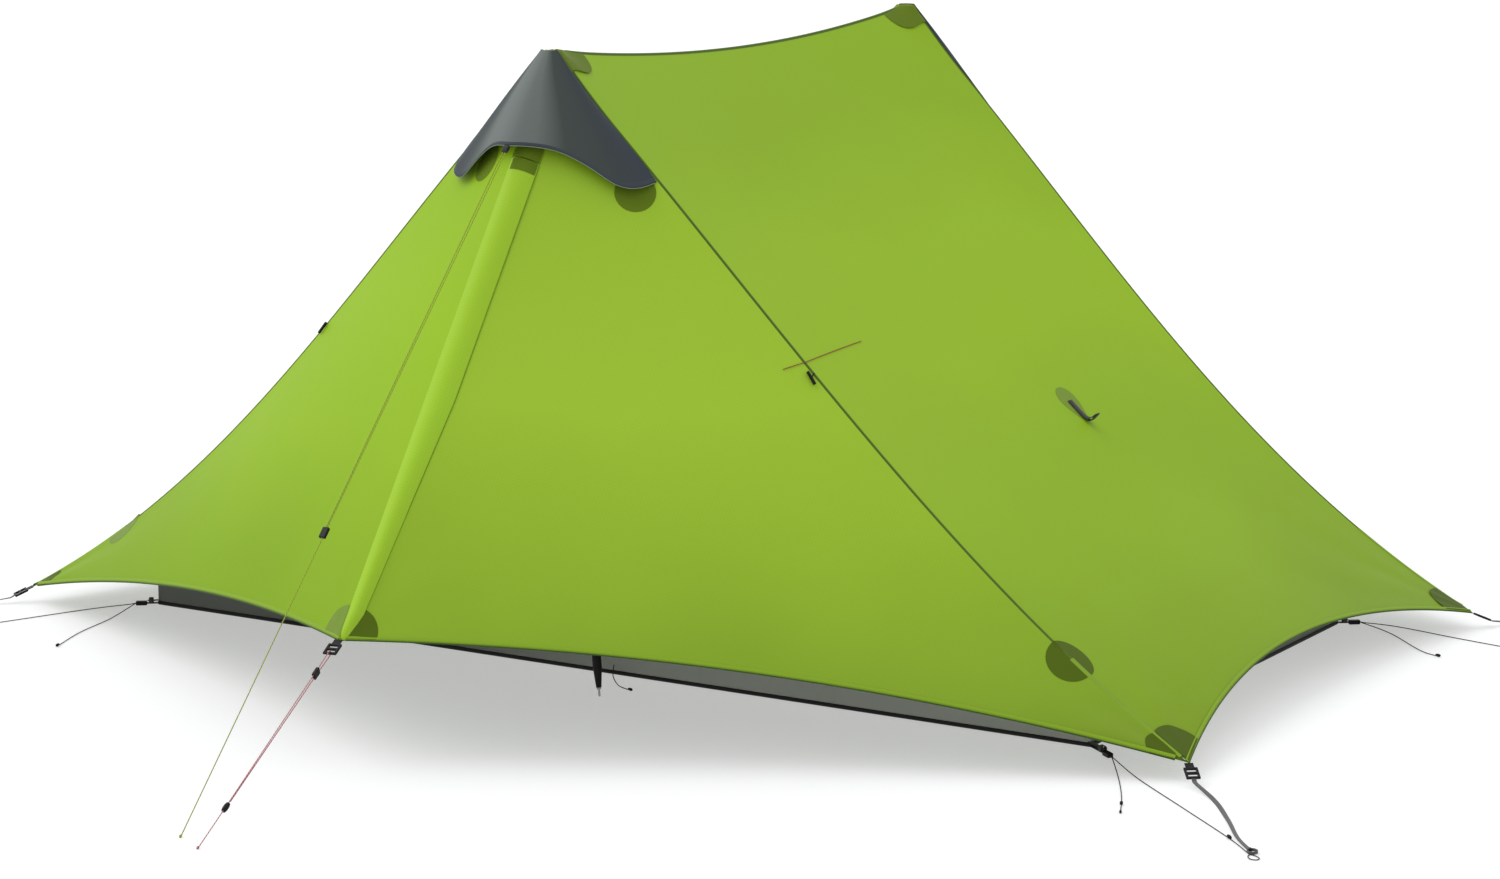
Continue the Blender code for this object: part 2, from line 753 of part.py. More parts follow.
def build_cup(name, carrier, home):
    """The apex cup: a closed thimble on the pole's axis, with the grip's top inside it."""
    outer = cup_radius()
    inner = outer - CUP_WALL
    round_off = 0.004
    profile = [
        (0.0, 0.0),
        (outer - round_off, 0.0),
        (outer - round_off * 0.3, -round_off * 0.3),
        (outer, -round_off),
        (outer, -CUP_DEPTH),
        (inner, -CUP_DEPTH),
        (inner, -CUP_WALL - round_off * 0.5),
        (inner - round_off * 0.5, -CUP_WALL),
        (0.0, -CUP_WALL),
    ]
    cup = turned(name, profile)
    place(cup, carrier, APEX, cup_axes())
    return finish(cup, black_plastic(), home)


def pole_axes():
    return cup_axes()


def build_pole(side_name, carrier, home):
    """A telescopic pole on an empty at its foot, whose Z axis runs up the pole."""
    stand = bpy.data.objects.new(side_name + "_pole_axis", None)
    bpy.context.scene.collection.objects.link(stand)
    place(stand, carrier, pole_foot(), pole_axes())
    length = (APEX - pole_foot()).length
    build_lower_shaft(side_name + "_pole_lower_shaft", stand, home)
    build_upper_shaft(side_name + "_pole_upper_shaft", stand, home)
    build_lever(side_name + "_pole_lever", stand, home)
    build_grip(side_name + "_pole_grip", stand, home, length)
    return stand


def build_lower_shaft(name, stand, home):
    """The thin shaft, with its plastic ferrule and carbide tip."""
    bore = LOWER_SHAFT_RADIUS - LOWER_SHAFT_WALL
    profile = [
        (0.0, FERRULE_LENGTH + 0.010),
        (bore, FERRULE_LENGTH + 0.010),
        (bore, LOWER_SHAFT_TOP),
        (LOWER_SHAFT_RADIUS, LOWER_SHAFT_TOP),
        (LOWER_SHAFT_RADIUS, FERRULE_LENGTH + 0.006),
        (FERRULE_RADIUS, FERRULE_LENGTH),
        (FERRULE_RADIUS, FERRULE_LENGTH - 0.020),
        (0.0050, POLE_TIP_LENGTH + 0.004),
        (0.0038, POLE_TIP_LENGTH),
        (POLE_TIP_RADIUS, POLE_TIP_LENGTH),
        (POLE_TIP_RADIUS, 0.001),
        (POLE_TIP_RADIUS * 0.7, 0.0),
        (0.0, 0.0),
    ]
    shaft = turned(name, profile, 16)
    place(shaft, stand)
    return finish(shaft, aluminium(), home)


def build_upper_shaft(name, stand, home):
    """The wide tube, with the clamp's collar and its lever ears at the lower end."""
    bore = LOWER_SHAFT_RADIUS + GAP
    shoulder = 0.003
    profile = [
        (bore, UPPER_SHAFT_TOP),
        (UPPER_SHAFT_RADIUS, UPPER_SHAFT_TOP),
        (UPPER_SHAFT_RADIUS, UPPER_SHAFT_BOTTOM + COLLAR_LENGTH),
        (COLLAR_RADIUS - shoulder * 0.5, UPPER_SHAFT_BOTTOM + COLLAR_LENGTH),
        (COLLAR_RADIUS, UPPER_SHAFT_BOTTOM + COLLAR_LENGTH - shoulder),
        (COLLAR_RADIUS, UPPER_SHAFT_BOTTOM + shoulder),
        (COLLAR_RADIUS - shoulder * 0.5, UPPER_SHAFT_BOTTOM),
        (bore, UPPER_SHAFT_BOTTOM),
        (bore, UPPER_SHAFT_TOP),
    ]
    shaft = turned(name, profile, 20)
    place(shaft, stand)
    ear_gap = LEVER_WIDTH / 2 + GAP
    ear_thickness = 0.0025
    for side in (1.0, -1.0):
        ear = block(name + "_ear", (0.0125, ear_thickness, 0.010),
                    (COLLAR_RADIUS + 0.0020, side * (ear_gap + ear_thickness / 2), lever_height()))
        place(ear, stand)
        boolean(shaft, ear, "UNION")
    return finish(shaft, aluminium(), home)


def lever_height():
    """How high on the pole the lever's pin lies."""
    return UPPER_SHAFT_BOTTOM + COLLAR_LENGTH - 0.008


def build_lever(name, stand, home):
    """The clamp's lever. Its origin is its pin, and its handle lies down along the collar."""
    pin_out = COLLAR_RADIUS + 0.0045
    lever = block(name, (LEVER_THICKNESS, LEVER_WIDTH, LEVER_LENGTH),
                  (0.0005, 0.0, -LEVER_LENGTH / 2 + 0.004), 0.0012)
    place(lever, stand, (pin_out, 0.0, lever_height()))
    return finish(lever, black_plastic(), home)


def build_grip(name, stand, home, length):
    """The foam grip, bored for the shaft, with a rounded top that sits in the apex cup."""
    top = length - CUP_WALL - GAP
    bore = UPPER_SHAFT_RADIUS + GAP
    bore_top = UPPER_SHAFT_TOP + GAP
    profile = [
        (0.0, top),
        (GRIP_TOP_RADIUS - 0.005, top),
        (GRIP_TOP_RADIUS - 0.0015, top - 0.002),
        (GRIP_TOP_RADIUS, top - 0.006),
        (GRIP_TOP_RADIUS, top - 0.018),
        (GRIP_RADIUS - 0.002, top - 0.034),
        (GRIP_RADIUS, top - 0.060),
        (GRIP_RADIUS - 0.001, top - 0.085),
        (GRIP_RADIUS + 0.0005, GRIP_BOTTOM + 0.020),
        (GRIP_RADIUS - 0.001, GRIP_BOTTOM),
        (bore, GRIP_BOTTOM),
        (bore, bore_top),
        (0.0, bore_top),
    ]
    grip = turned(name, profile, 20)
    place(grip, stand)
    return finish(grip, grip_foam(), home)


def build_buckle(name, carrier, home, start, pull, up_hint, first_gap):
    """A ladder-lock buckle with its sewn tab. Its origin is where the tab leaves the cloth."""
    body_start = first_gap + BUCKLE_TAB_LENGTH
    body = block(name, (BUCKLE_LENGTH, BUCKLE_WIDTH, BUCKLE_THICKNESS),
                 (body_start + BUCKLE_LENGTH / 2, 0.0, 0.0), 0.0008)
    tab = block(name + "_tab", (BUCKLE_TAB_LENGTH + 0.001, BUCKLE_TAB_WIDTH, BUCKLE_TAB_THICKNESS),
                (first_gap + (BUCKLE_TAB_LENGTH + 0.001) / 2, 0.0, 0.0))
    slot_length = (BUCKLE_LENGTH - 3.0 * BUCKLE_BAR) / 2
    axes = axes_along(pull, up_hint)
    pieces = [(tab, "UNION")]
    for number in (0, 1):
        at = body_start + BUCKLE_BAR + slot_length / 2 + number * (slot_length + BUCKLE_BAR)
        slot = block(name + "_slot", (slot_length, BUCKLE_WIDTH - 2.0 * BUCKLE_BAR, BUCKLE_THICKNESS * 3),
                     (at, 0.0, 0.0))
        pieces.append((slot, "DIFFERENCE"))
    place(body, carrier, start, axes)
    for piece, operation in pieces:
        place(piece, carrier, start, axes)
        boolean(body, piece, operation)
    return finish(body, black_plastic(), home)


def corner_pull():
    """The way the front right corner is pulled: outwards and down to the ground."""
    return Vector((0.62, -0.77, -0.42)).normalized()


def buckle_end(start, pull, first_gap):
    return start + pull * (first_gap + BUCKLE_TAB_LENGTH + BUCKLE_LENGTH)


def guy_frame(top, foot, side_hint=Vector((1.0, 0.0, 0.0))):
    """The line of a guy: its top, its way down, its side and its length."""
    down = foot - top
    length = down.length
    down = down / length
    side = (side_hint - down * side_hint.dot(down)).normalized()
    return top, down, side, length


def apex_guy_frame():
    crest = hood_crest()
    foot = Vector((*APEX_GUY_FOOT, GUY_RADIUS + GAP))
    down = (foot - crest).normalized()
    bar = crest + down * (2.0 * GAP + LOOP_LENGTH - LOOP_BAR / 2)
    return guy_frame(bar, foot)


def build_guy_loop(name, carrier, home):
    """The webbing loop under the hood's crest that the apex guy ties to."""
    bar, down, side, _ = apex_guy_frame()
    centre = bar - down * (LOOP_LENGTH / 2 - LOOP_BAR / 2)
    axes = axes_along(down, side)
    loop = block(name, (LOOP_LENGTH, LOOP_WIDTH, LOOP_THICKNESS))
    window = block(name + "_window", (LOOP_LENGTH - 2.0 * LOOP_BAR, LOOP_WIDTH - 2.0 * LOOP_BAR,
                                      LOOP_THICKNESS * 4))
    place(loop, carrier, centre, axes)
    place(window, carrier, centre, axes)
    boolean(loop, window, "DIFFERENCE")
    return finish(loop, black_plastic(), home)


def u_turn(top, down, side, spread, steps=6):
    """Half a turn round a bar at the top of a guy, from its right side to its left."""
    points = []
    for step in range(steps + 1):
        angle = math.pi * step / steps
        points.append(top + side * (spread * math.cos(angle)) - down * (spread * math.sin(angle)))
    return points


def apex_guy_route():
    """From the ground through the tensioner, round the loop's bar and back to the tensioner."""
    top, down, side, length = apex_guy_frame()
    knot = APEX_TENSIONER_DOWN + TENSIONER_LENGTH
    strand = [top + down * length, top + down * (length * 0.8), top + down * knot + side * GUY_PINCH]
    strand.append(top + down * APEX_TENSIONER_DOWN + side * GUY_PINCH)
    strand.append(top + down * (APEX_TENSIONER_DOWN * 0.5) + side * (GUY_PINCH + GUY_SPREAD) / 2)
    strand.extend(u_turn(top, down, side, GUY_SPREAD))
    strand.append(top + down * (APEX_TENSIONER_DOWN * 0.5) - side * (GUY_PINCH + GUY_SPREAD) / 2)
    strand.append(top + down * APEX_TENSIONER_DOWN - side * GUY_PINCH)
    strand.append(top + down * knot - side * GUY_PINCH)
    return strand


def porch_pull():
    """The way the porch point is pulled: out to its guy's foot."""
    foot = Vector((*PORCH_GUY_FOOT, GUY_RADIUS + GAP))
    return (foot - PORCH).normalized()


def porch_guy_frame():
    """The porch guy hangs on the last bar of the porch hook."""
    foot = Vector((*PORCH_GUY_FOOT, GUY_RADIUS + GAP))
    pull = porch_pull()
    bar = buckle_end(PORCH, pull, PORCH_TAB_START) - pull * (BUCKLE_BAR / 2)
    return guy_frame(bar, foot)


def porch_guy_route():
    """From the ground up through the tensioner, round the hook's bar and back to the lower knot."""
    top, down, side, length = porch_guy_frame()
    lift = axes_along(down, Vector((0.0, 0.0, 1.0)))[2]
    low = length * 0.82
    strand = [top + down * length, top + down * low]
    strand.append(top + down * (PORCH_TENSIONER_DOWN + TENSIONER_LENGTH) + lift * PORCH_GUY_PINCH)
    strand.append(top + down * PORCH_TENSIONER_DOWN + lift * PORCH_GUY_PINCH)
    strand.extend(u_turn(top, down, lift, PORCH_GUY_SPREAD))
    strand.append(top + down * PORCH_TENSIONER_DOWN - lift * PORCH_GUY_PINCH)
    strand.append(top + down * (PORCH_TENSIONER_DOWN + TENSIONER_LENGTH) - lift * PORCH_GUY_PINCH)
    strand.append(top + down * (low - 0.030) - lift * (2.0 * GUY_RADIUS + GAP))
    return strand


def build_tensioner(name, frame, down_run, across, home):
    """A guy tensioner: a flat block whose slot passes both strands. Its origin is its middle."""
    top, down, side, _ = frame
    body = block(name, (TENSIONER_LENGTH, TENSIONER_WIDTH, TENSIONER_THICKNESS), bevel=0.001)
    slot = block(name + "_slot", (TENSIONER_LENGTH * 1.5, TENSIONER_SLOT_WIDTH,
                                  2.0 * (GUY_RADIUS + GAP)), bevel=0.0)
    y_axis = Vector(across)
    axes = (down, y_axis, down.cross(y_axis))
    centre = top + down * (down_run + TENSIONER_LENGTH / 2)
    place(body, None, centre, axes)
    place(slot, None, centre, axes)
    boolean(body, slot, "DIFFERENCE")
    return finish(body, black_plastic(), home)


def cloth_trees():
    """The front's end panel and yoke as they are built, for laying things on their facets."""
    graph = bpy.context.evaluated_depsgraph_get()
    return [BVHTree.FromObject(bpy.data.objects[name], graph) for name in ("end_panel_right", "front_yoke")]


def rest_on(trees, point, outward, lift):
    """The point moved along outward so that it lies a lift above the outermost cloth there."""
    start = point + outward * 0.030
    hits = [tree.ray_cast(start, -outward, 0.060) for tree in trees]
    nearest = [hit for hit in hits if hit[0] is not None]
    if not nearest:
        return point + outward * (CLOTH + lift)
    first = min(nearest, key=lambda hit: hit[3])
    return first[0] + outward * lift


def build_toggle(name, mirror, home):
    """A bar toggle on a short elastic stem, sewn to a front seam. Its origin is the stem's root."""
    run = TOGGLE_SEAM_RUN / SEAM_LENGTH
    crest = (END_NORMAL + DOOR_NORMAL).normalized()
    trees = cloth_trees()
    down_seam = (seam_point(run + 0.01) - seam_point(run - 0.01)).normalized()
    seam = seam_point(run)
    middle = seam + SEAM_TO_DOOR * 0.014 + down_seam * 0.005
    half = (down_seam * 0.95 + SEAM_TO_DOOR * 0.15).normalized() * (TOGGLE_LENGTH / 2)
    root = rest_on(trees, seam, crest, TOGGLE_STEM_RADIUS + 2.0 * GAP)
    stem_end = rest_on(trees, middle, crest, TOGGLE_RADIUS + 0.0020)
    turn = MIRROR_X if mirror else Matrix.Identity(3)
    root = turn @ root
    stem_end = turn @ stem_end
    half = turn @ half
    bar = as_mesh(tube(name, [stem_end - half - root, stem_end - root, stem_end + half - root], TOGGLE_RADIUS))
    stem = as_mesh(tube(name + "_stem", [Vector(), (stem_end - root) * 0.5, stem_end - root],
                        TOGGLE_STEM_RADIUS))
    place(bar, None, root)
    place(stem, None, root)
    boolean(bar, stem, "UNION")
    return finish(bar, black_plastic(), home)


def pullout_place():
    """Where the pull-out is sewn to the end panel: u, v, and the way down the slope."""
    u = 0.5 + PULLOUT_OFFSET / RIDGE_LENGTH
    v = PULLOUT_RUN / SEAM_LENGTH
    return u, v


def build_pullout(name, carrier, home):
    """A webbing loop sewn flat down the end panel, with its lower end standing off as a loop."""
    u, v = pullout_place()
    rest = 3.0 * GAP + PULLOUT_THICKNESS / 2
    trees = cloth_trees()[:1]
    stations = [(0.000, 0.0), (0.020, 0.0), (0.036, 0.004), (0.052, 0.018), (0.066, 0.024),
                (0.076, 0.016), (0.072, 0.005), (0.064, 0.0004)]
    route = []
    for down, stand_off in stations:
        at = v + down / SEAM_LENGTH
        normal = surface_normal(end_point, u, at, END_NORMAL)
        route.append(rest_on(trees, end_point(u, at), normal, rest + stand_off))
    loop = strip(name, smooth_route(route, 18), (0.0, 1.0, 0.0), PULLOUT_WIDTH, PULLOUT_THICKNESS)
    place(loop, carrier)
    return finish(loop, black_plastic(), home)


# Inner tent, in the front's frame

INNER_PEAK = Vector((0.0, -INNER_PEAK_Y, INNER_PEAK_HEIGHT))
INNER_FOOT = Vector((INNER_LENGTH / 2, -INNER_WIDTH / 2, TRAY_WALL + 3.0 * GAP))


def build_tray(name, home):
    """The bathtub floor: an open box of coated cloth with walls all round."""
    mesh = bpy.data.meshes.new(name)
    form = bmesh.new()
    bmesh.ops.create_cube(form, size=1.0)
    bmesh.ops.scale(form, vec=Vector((INNER_LENGTH, INNER_WIDTH, TRAY_WALL)), verts=form.verts)
    bmesh.ops.translate(form, vec=Vector((0.0, 0.0, TRAY_WALL / 2)), verts=form.verts)
    lid = [face for face in form.faces if face.normal.z > 0.9]
    bmesh.ops.delete(form, geom=lid, context="FACES")
    form.to_mesh(mesh)
    form.free()
    tray = new_object(name, mesh)
    solid = tray.modifiers.new("thickness", "SOLIDIFY")
    solid.thickness = TRAY_CLOTH
    solid.offset = -1.0
    solid.use_even_offset = True
    return finish(tray, floor_cloth(), home)


def inner_wall_point(u, v):
    """The left wall of mesh: u from the rear seam to the front one (0 to 1), then to the door (2)."""
    peak = MIRROR_X @ INNER_PEAK
    foot = MIRROR_X @ INNER_FOOT
    if u <= 1.0:
        top = (MIRROR_Y @ peak).lerp(peak, u)
        top.z -= INNER_RIDGE_SAG * 4.0 * u * (1.0 - u)
        top.x -= GAP
        low = (MIRROR_Y @ foot).lerp(foot, u)
        return top.lerp(low, v)
    middle = Vector((-GAP, foot.y, foot.z))
    start = peak + Vector((-GAP, 0.0, 0.0))
    return start.lerp(foot.lerp(middle, u - 1.0), v)


def hanger_route():
    """The strap that hangs the front peak of the mesh on the apex cup, whose side it meets."""
    peak = MIRROR_X @ INNER_PEAK + Vector((-HANGER_WIDTH / 2 - 0.002, 0.0, -0.006))
    top = APEX - pole_up() * (CUP_DEPTH - 0.008)
    top += Vector((0.0, cup_radius() + HANGER_THICKNESS / 2 + 2.0 * GAP, 0.0))
    return [peak, peak.lerp(top, 0.5), top, top + pole_up() * 0.006]


def build_inner_wall(name, carrier, home):
    """The mesh end wall and the fixed half of the porch wall, sewn in one piece."""
    rear_gap = GAP / INNER_WIDTH

    def surface(u, v):
        return inner_wall_point(rear_gap + u * (2.0 - rear_gap), v)

    wall = sheet(name, surface, 12, 6, Vector((-1.0, 0.0, 0.3)))
    place(wall, carrier)
    hanger = strip(name + "_hanger", hanger_route(), (1.0, 0.0, 0.0), HANGER_WIDTH, HANGER_THICKNESS)
    place(hanger, carrier)
    boolean(wall, hanger, "UNION")
    return finish(wall, mesh_cloth(), home, 50.0)


def build_inner_door(name, carrier, home):
    """The mesh door: the other half of the porch wall. Its origin lies on its sloping seam."""
    inset = 2.0 * GAP

    def surface(u, v):
        low = Vector((inset, INNER_FOOT.y, INNER_FOOT.z)).lerp(INNER_FOOT - Vector((inset, 0.0, 0.0)), u)
        start = INNER_PEAK + Vector((inset, 0.0, -0.012))
        return start.lerp(low, v)

    door = sheet(name, surface, 6, 6, Vector((0.0, -1.0, 0.0)), thickness=CLOTH, origin=INNER_FOOT)
    place(door, carrier, INNER_FOOT)
    return finish(door, mesh_cloth(), home)


def lock_tab_length(sign_x, sign_y):
    """The webbing from the floor's corner to the lock, which is longer at the front right."""
    return 0.056 if sign_x > 0 > sign_y else 0.024


def build_corner_lock(name, sign_x, sign_y, home):
    """A cord lock on its webbing tab at a corner of the floor, lying out along the diagonal."""
    corner = Vector((sign_x * INNER_LENGTH / 2, sign_y * INNER_WIDTH / 2, LOCK_THICKNESS / 2 + GAP))
    way = lock_way(sign_x, sign_y)
    reach = lock_tab_length(sign_x, sign_y)
    tab = block(name, (reach - LOCK_CLEAR + 0.002, 0.010, 0.0020),
                ((LOCK_CLEAR + reach + 0.002) / 2, 0.0, 0.0))
    lock = block(name + "_body", (LOCK_LENGTH, LOCK_WIDTH, LOCK_THICKNESS),
                 (reach + LOCK_LENGTH / 2, 0.0, 0.0), 0.0016)
    axes = axes_along(way, Vector((0.0, 0.0, 1.0)))
    place(tab, None, corner, axes)
    place(lock, None, corner, axes)
    boolean(tab, lock, "UNION")
    return finish(tab, black_plastic(), home)


def lock_way(sign_x, sign_y):
    return Vector((sign_x * 0.80, sign_y * 0.60, 0.0)).normalized()


def lock_end(sign_x, sign_y, extra=0.0):
    """The middle of a lock's outer face, and a little beyond it."""
    corner = Vector((sign_x * INNER_LENGTH / 2, sign_y * INNER_WIDTH / 2, LOCK_THICKNESS / 2 + GAP))
    reach = lock_tab_length(sign_x, sign_y) + LOCK_LENGTH
    return corner + lock_way(sign_x, sign_y) * (reach + extra)


def cord(name, points, radius, count, paint, home):
    """A loose or taut cord along a smooth curve through its points, and never below the ground."""
    route = smooth_route([Vector(point) for point in points], count)
    for point in route:
        point.z = max(point.z, radius + GAP)
    made = tube(name, route, radius)
    return finish(made, paint, home)


def beyond_floor(sign_x, sign_y, out, along):
    """A place on the ground beyond a corner of the floor, out past its end and along past its side."""
    return Vector((sign_x * (INNER_LENGTH / 2 + out), sign_y * (INNER_WIDTH / 2 + along), CORD_RADIUS + GAP))


def beyond_foot(out, along):
    """A place on the ground beyond the front right corner of the outer tent."""
    return Vector((FOOT.x + out, FOOT.y - along, STRAP_RADIUS + GAP))


def build_cords(home):
    """The cords that the corners, the floor and the toggle hold."""
    low = CORD_RADIUS + GAP
    dark = cord_material("dark cord", BLACK)
    webbing = grey_webbing()

    start = lock_end(1, -1, GAP)
    way = lock_way(1, -1)
    line = [start, start + way * 0.014 - Vector((0.0, 0.0, 0.002))]
    for out, along in ((0.170, 0.151), (0.320, 0.281), (0.467, 0.409), (0.535, 0.477)):
        line.append(beyond_floor(1, -1, out, along))
    cord("corner_cord_front_right", line, CORD_RADIUS, 24, dark, home)
    beside = Vector((-0.60, -0.80, 0.0)) * 0.0025
    tail = [start + beside + way * 0.001, start + beside * 2.0 + way * 0.016]
    for out, along in ((0.142, 0.173), (0.198, 0.276), (0.240, 0.366)):
        tail.append(beyond_floor(1, -1, out, along))
    cord("corner_tail_front_right", tail, CORD_RADIUS, 18, dark, home)

    start = lock_end(-1, -1, GAP)
    way = lock_way(-1, -1)
    line = [start, start + way * 0.010 - Vector((0.0, 0.0, 0.002))]
    for out, along in ((0.095, 0.111), (0.170, 0.291), (0.225, 0.421)):
        line.append(beyond_floor(-1, -1, out, along))
    cord("corner_cord_front_left", line, CORD_RADIUS, 20, dark, home)
    beside = Vector((0.60, -0.80, 0.0)) * 0.0026
    tail = [start + beside + way * 0.001, start + beside * 3.0 + way * 0.002]
    for out, along in ((-0.002, 0.161), (-0.029, 0.287), (-0.071, 0.405)):
        tail.append(beyond_floor(-1, -1, out, along))
    cord("corner_tail_front_left", tail, CORD_RADIUS, 18, dark, home)

    start = lock_end(1, 1, GAP)
    way = lock_way(1, 1)
    line = [start, start + way * 0.010 - Vector((0.0, 0.0, 0.002))]
    for out, along in ((0.115, 0.043), (0.260, 0.011), (0.415, -0.019)):
        line.append(beyond_floor(1, 1, out, along))
    cord("corner_cord_rear_right", line, CORD_RADIUS, 20, dark, home)
    beside = Vector((0.60, -0.80, 0.0)) * 0.0026
    tail = [start + beside + way * 0.001, start + beside * 3.0 + way * 0.002]
    for out, along in ((0.125, -0.019), (0.237, -0.129), (0.290, -0.159)):
        tail.append(beyond_floor(1, 1, out, along))
    cord("corner_tail_rear_right", tail, CORD_RADIUS, 18, dark, home)

    wall = -INNER_WIDTH / 2
    cord("floor_loop_cord", [(0.058, wall - CORD_RADIUS - GAP, 0.020), (0.075, wall - 0.030, 0.006),
                             (0.119, wall - 0.075, low), (0.160, wall - 0.094, low)],
         CORD_RADIUS, 14, dark, home)

    start = buckle_end(FOOT, corner_pull(), 2.0 * GAP) + corner_pull() * GAP
    strap = [start, start + corner_pull() * 0.012]
    for out, along in ((0.095, 0.094), (0.168, 0.195), (0.225, 0.282), (0.276, 0.342)):
        strap.append(beyond_foot(out, along))
    cord("corner_strap_front_right", strap, STRAP_RADIUS, 24, webbing, home)
    for name, turn in (("corner_strap_front_left", MIRROR_X), ("corner_strap_rear_right", MIRROR_Y)):
        strap = [start, start + corner_pull() * 0.012]
        for out, along in ((0.103, 0.118), (0.188, 0.224), (0.276, 0.334)):
            strap.append(beyond_foot(out, along))
        cord(name, [turn @ point for point in strap], STRAP_RADIUS, 20, webbing, home)

    build_tie_cord(home)
    top = cord_material("yellow guyline", YELLOW)
    finish(tube("apex_guy", apex_guy_route(), GUY_RADIUS), top, home)
    finish(tube("porch_guy", porch_guy_route(), GUY_RADIUS), cord_material("red guyline", RED), home)


def build_tie_cord(home):
    """The thin red cord of the door tie, lying across the front right seam onto the end panel."""
    run = TOGGLE_SEAM_RUN / SEAM_LENGTH - 0.012
    lift = CORD_RADIUS + 3.0 * GAP
    trees = cloth_trees()
    crest = (END_NORMAL + DOOR_NORMAL).normalized()
    route = []
    for u in (0.235, 0.20, 0.16, 0.12, 0.08, 0.04, 0.015):
        normal = surface_normal(end_point, u, run, END_NORMAL)
        route.append(rest_on(trees, end_point(u, run), normal, lift))
    route.append(rest_on(trees, seam_point(run), crest, lift + 0.0010))
    for down in (0.012, 0.024):
        route.append(rest_on(trees, seam_point(run) + SEAM_TO_DOOR * down, crest, lift + 0.0006))
    cord("tie_back_cord", route, CORD_RADIUS * 0.8, 24, cord_material("red guyline", RED), home)


def main():
    for obj in list(bpy.data.objects):
        bpy.data.objects.remove(obj)
    home = new_collection("trekking pole tent")
    new_collection("cutters")

    front = bpy.data.objects.new("front_side", None)
    rear = bpy.data.objects.new("rear_side", None)
    for empty in (front, rear):
        bpy.context.scene.collection.objects.link(empty)
    rear.rotation_euler.z = math.pi

    for side_name, end_name, carrier in (("front", "right", front), ("rear", "left", rear)):
        build_end_panel("end_panel_" + end_name, carrier, home)
        build_yoke(side_name + "_yoke", carrier, home)
        build_door_left(side_name + "_door_left", carrier, home)
        build_door_right(side_name + "_door_right", carrier, home)
        build_zip(side_name, carrier, home)
        build_hood(side_name + "_hood", carrier, home)
        build_cup(side_name + "_apex_cup", carrier, home)
        build_guy_loop(side_name + "_guy_loop", carrier, home)
        build_pole(side_name, carrier, home)
        build_buckle(side_name + "_porch_hook", carrier, home, PORCH, porch_pull(),
                     Vector((0.0, 0.0, 1.0)), PORCH_TAB_START)
        build_pullout("side_pullout_" + end_name, carrier, home)
        build_inner_door("inner_door_" + side_name, carrier, home)
    build_inner_wall("inner_wall_left", front, home)
    build_inner_wall("inner_wall_right", rear, home)

    corners = (("front_right", 1.0, -1.0), ("front_left", -1.0, -1.0),
               ("rear_right", 1.0, 1.0), ("rear_left", -1.0, 1.0))
    for corner_name, sign_x, sign_y in corners:
        turn = Matrix.Diagonal((sign_x, -sign_y, 1.0))
        build_buckle("corner_buckle_" + corner_name, None, home, turn @ FOOT, turn @ corner_pull(),
                     Vector((0.0, 0.0, 1.0)), 2.0 * GAP)
        build_corner_lock("floor_corner_lock_" + corner_name, sign_x, sign_y, home)
    build_toggle("door_toggle_right", False, home)
    build_toggle("door_toggle_left", True, home)
    across = apex_guy_frame()[2]
    build_tensioner("apex_guy_tensioner", apex_guy_frame(), APEX_TENSIONER_DOWN, across, home)
    lift = axes_along(porch_guy_frame()[1], Vector((0.0, 0.0, 1.0)))[2]
    build_tensioner("porch_guy_tensioner", porch_guy_frame(), PORCH_TENSIONER_DOWN, lift, home)
    build_tray("floor_tray", home)
    build_cords(home)


main()
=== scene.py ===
import math

import bpy
from mathutils import Matrix, Vector, noise
from mathutils.bvhtree import BVHTree
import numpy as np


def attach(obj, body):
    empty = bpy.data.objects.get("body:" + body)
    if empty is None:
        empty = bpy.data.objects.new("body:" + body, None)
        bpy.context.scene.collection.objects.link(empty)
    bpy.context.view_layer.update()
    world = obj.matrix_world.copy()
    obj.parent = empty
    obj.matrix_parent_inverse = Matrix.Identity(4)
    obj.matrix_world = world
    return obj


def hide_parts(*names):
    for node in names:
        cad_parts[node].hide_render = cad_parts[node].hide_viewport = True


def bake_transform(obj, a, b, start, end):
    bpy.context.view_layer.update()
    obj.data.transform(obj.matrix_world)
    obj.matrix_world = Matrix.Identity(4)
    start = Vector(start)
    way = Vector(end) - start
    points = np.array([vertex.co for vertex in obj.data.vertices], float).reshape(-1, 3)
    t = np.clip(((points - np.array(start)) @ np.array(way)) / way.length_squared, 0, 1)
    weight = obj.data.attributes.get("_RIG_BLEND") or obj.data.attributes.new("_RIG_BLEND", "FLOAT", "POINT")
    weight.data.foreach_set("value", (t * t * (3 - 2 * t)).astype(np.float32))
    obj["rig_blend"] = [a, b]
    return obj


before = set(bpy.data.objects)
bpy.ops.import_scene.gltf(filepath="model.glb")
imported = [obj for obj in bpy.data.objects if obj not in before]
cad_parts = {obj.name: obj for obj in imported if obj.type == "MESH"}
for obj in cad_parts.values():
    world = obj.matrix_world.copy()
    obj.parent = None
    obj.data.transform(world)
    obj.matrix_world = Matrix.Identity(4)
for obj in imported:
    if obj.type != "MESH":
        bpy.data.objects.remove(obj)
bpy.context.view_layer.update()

# Sizes of the tent, in metres, the same as in its solids

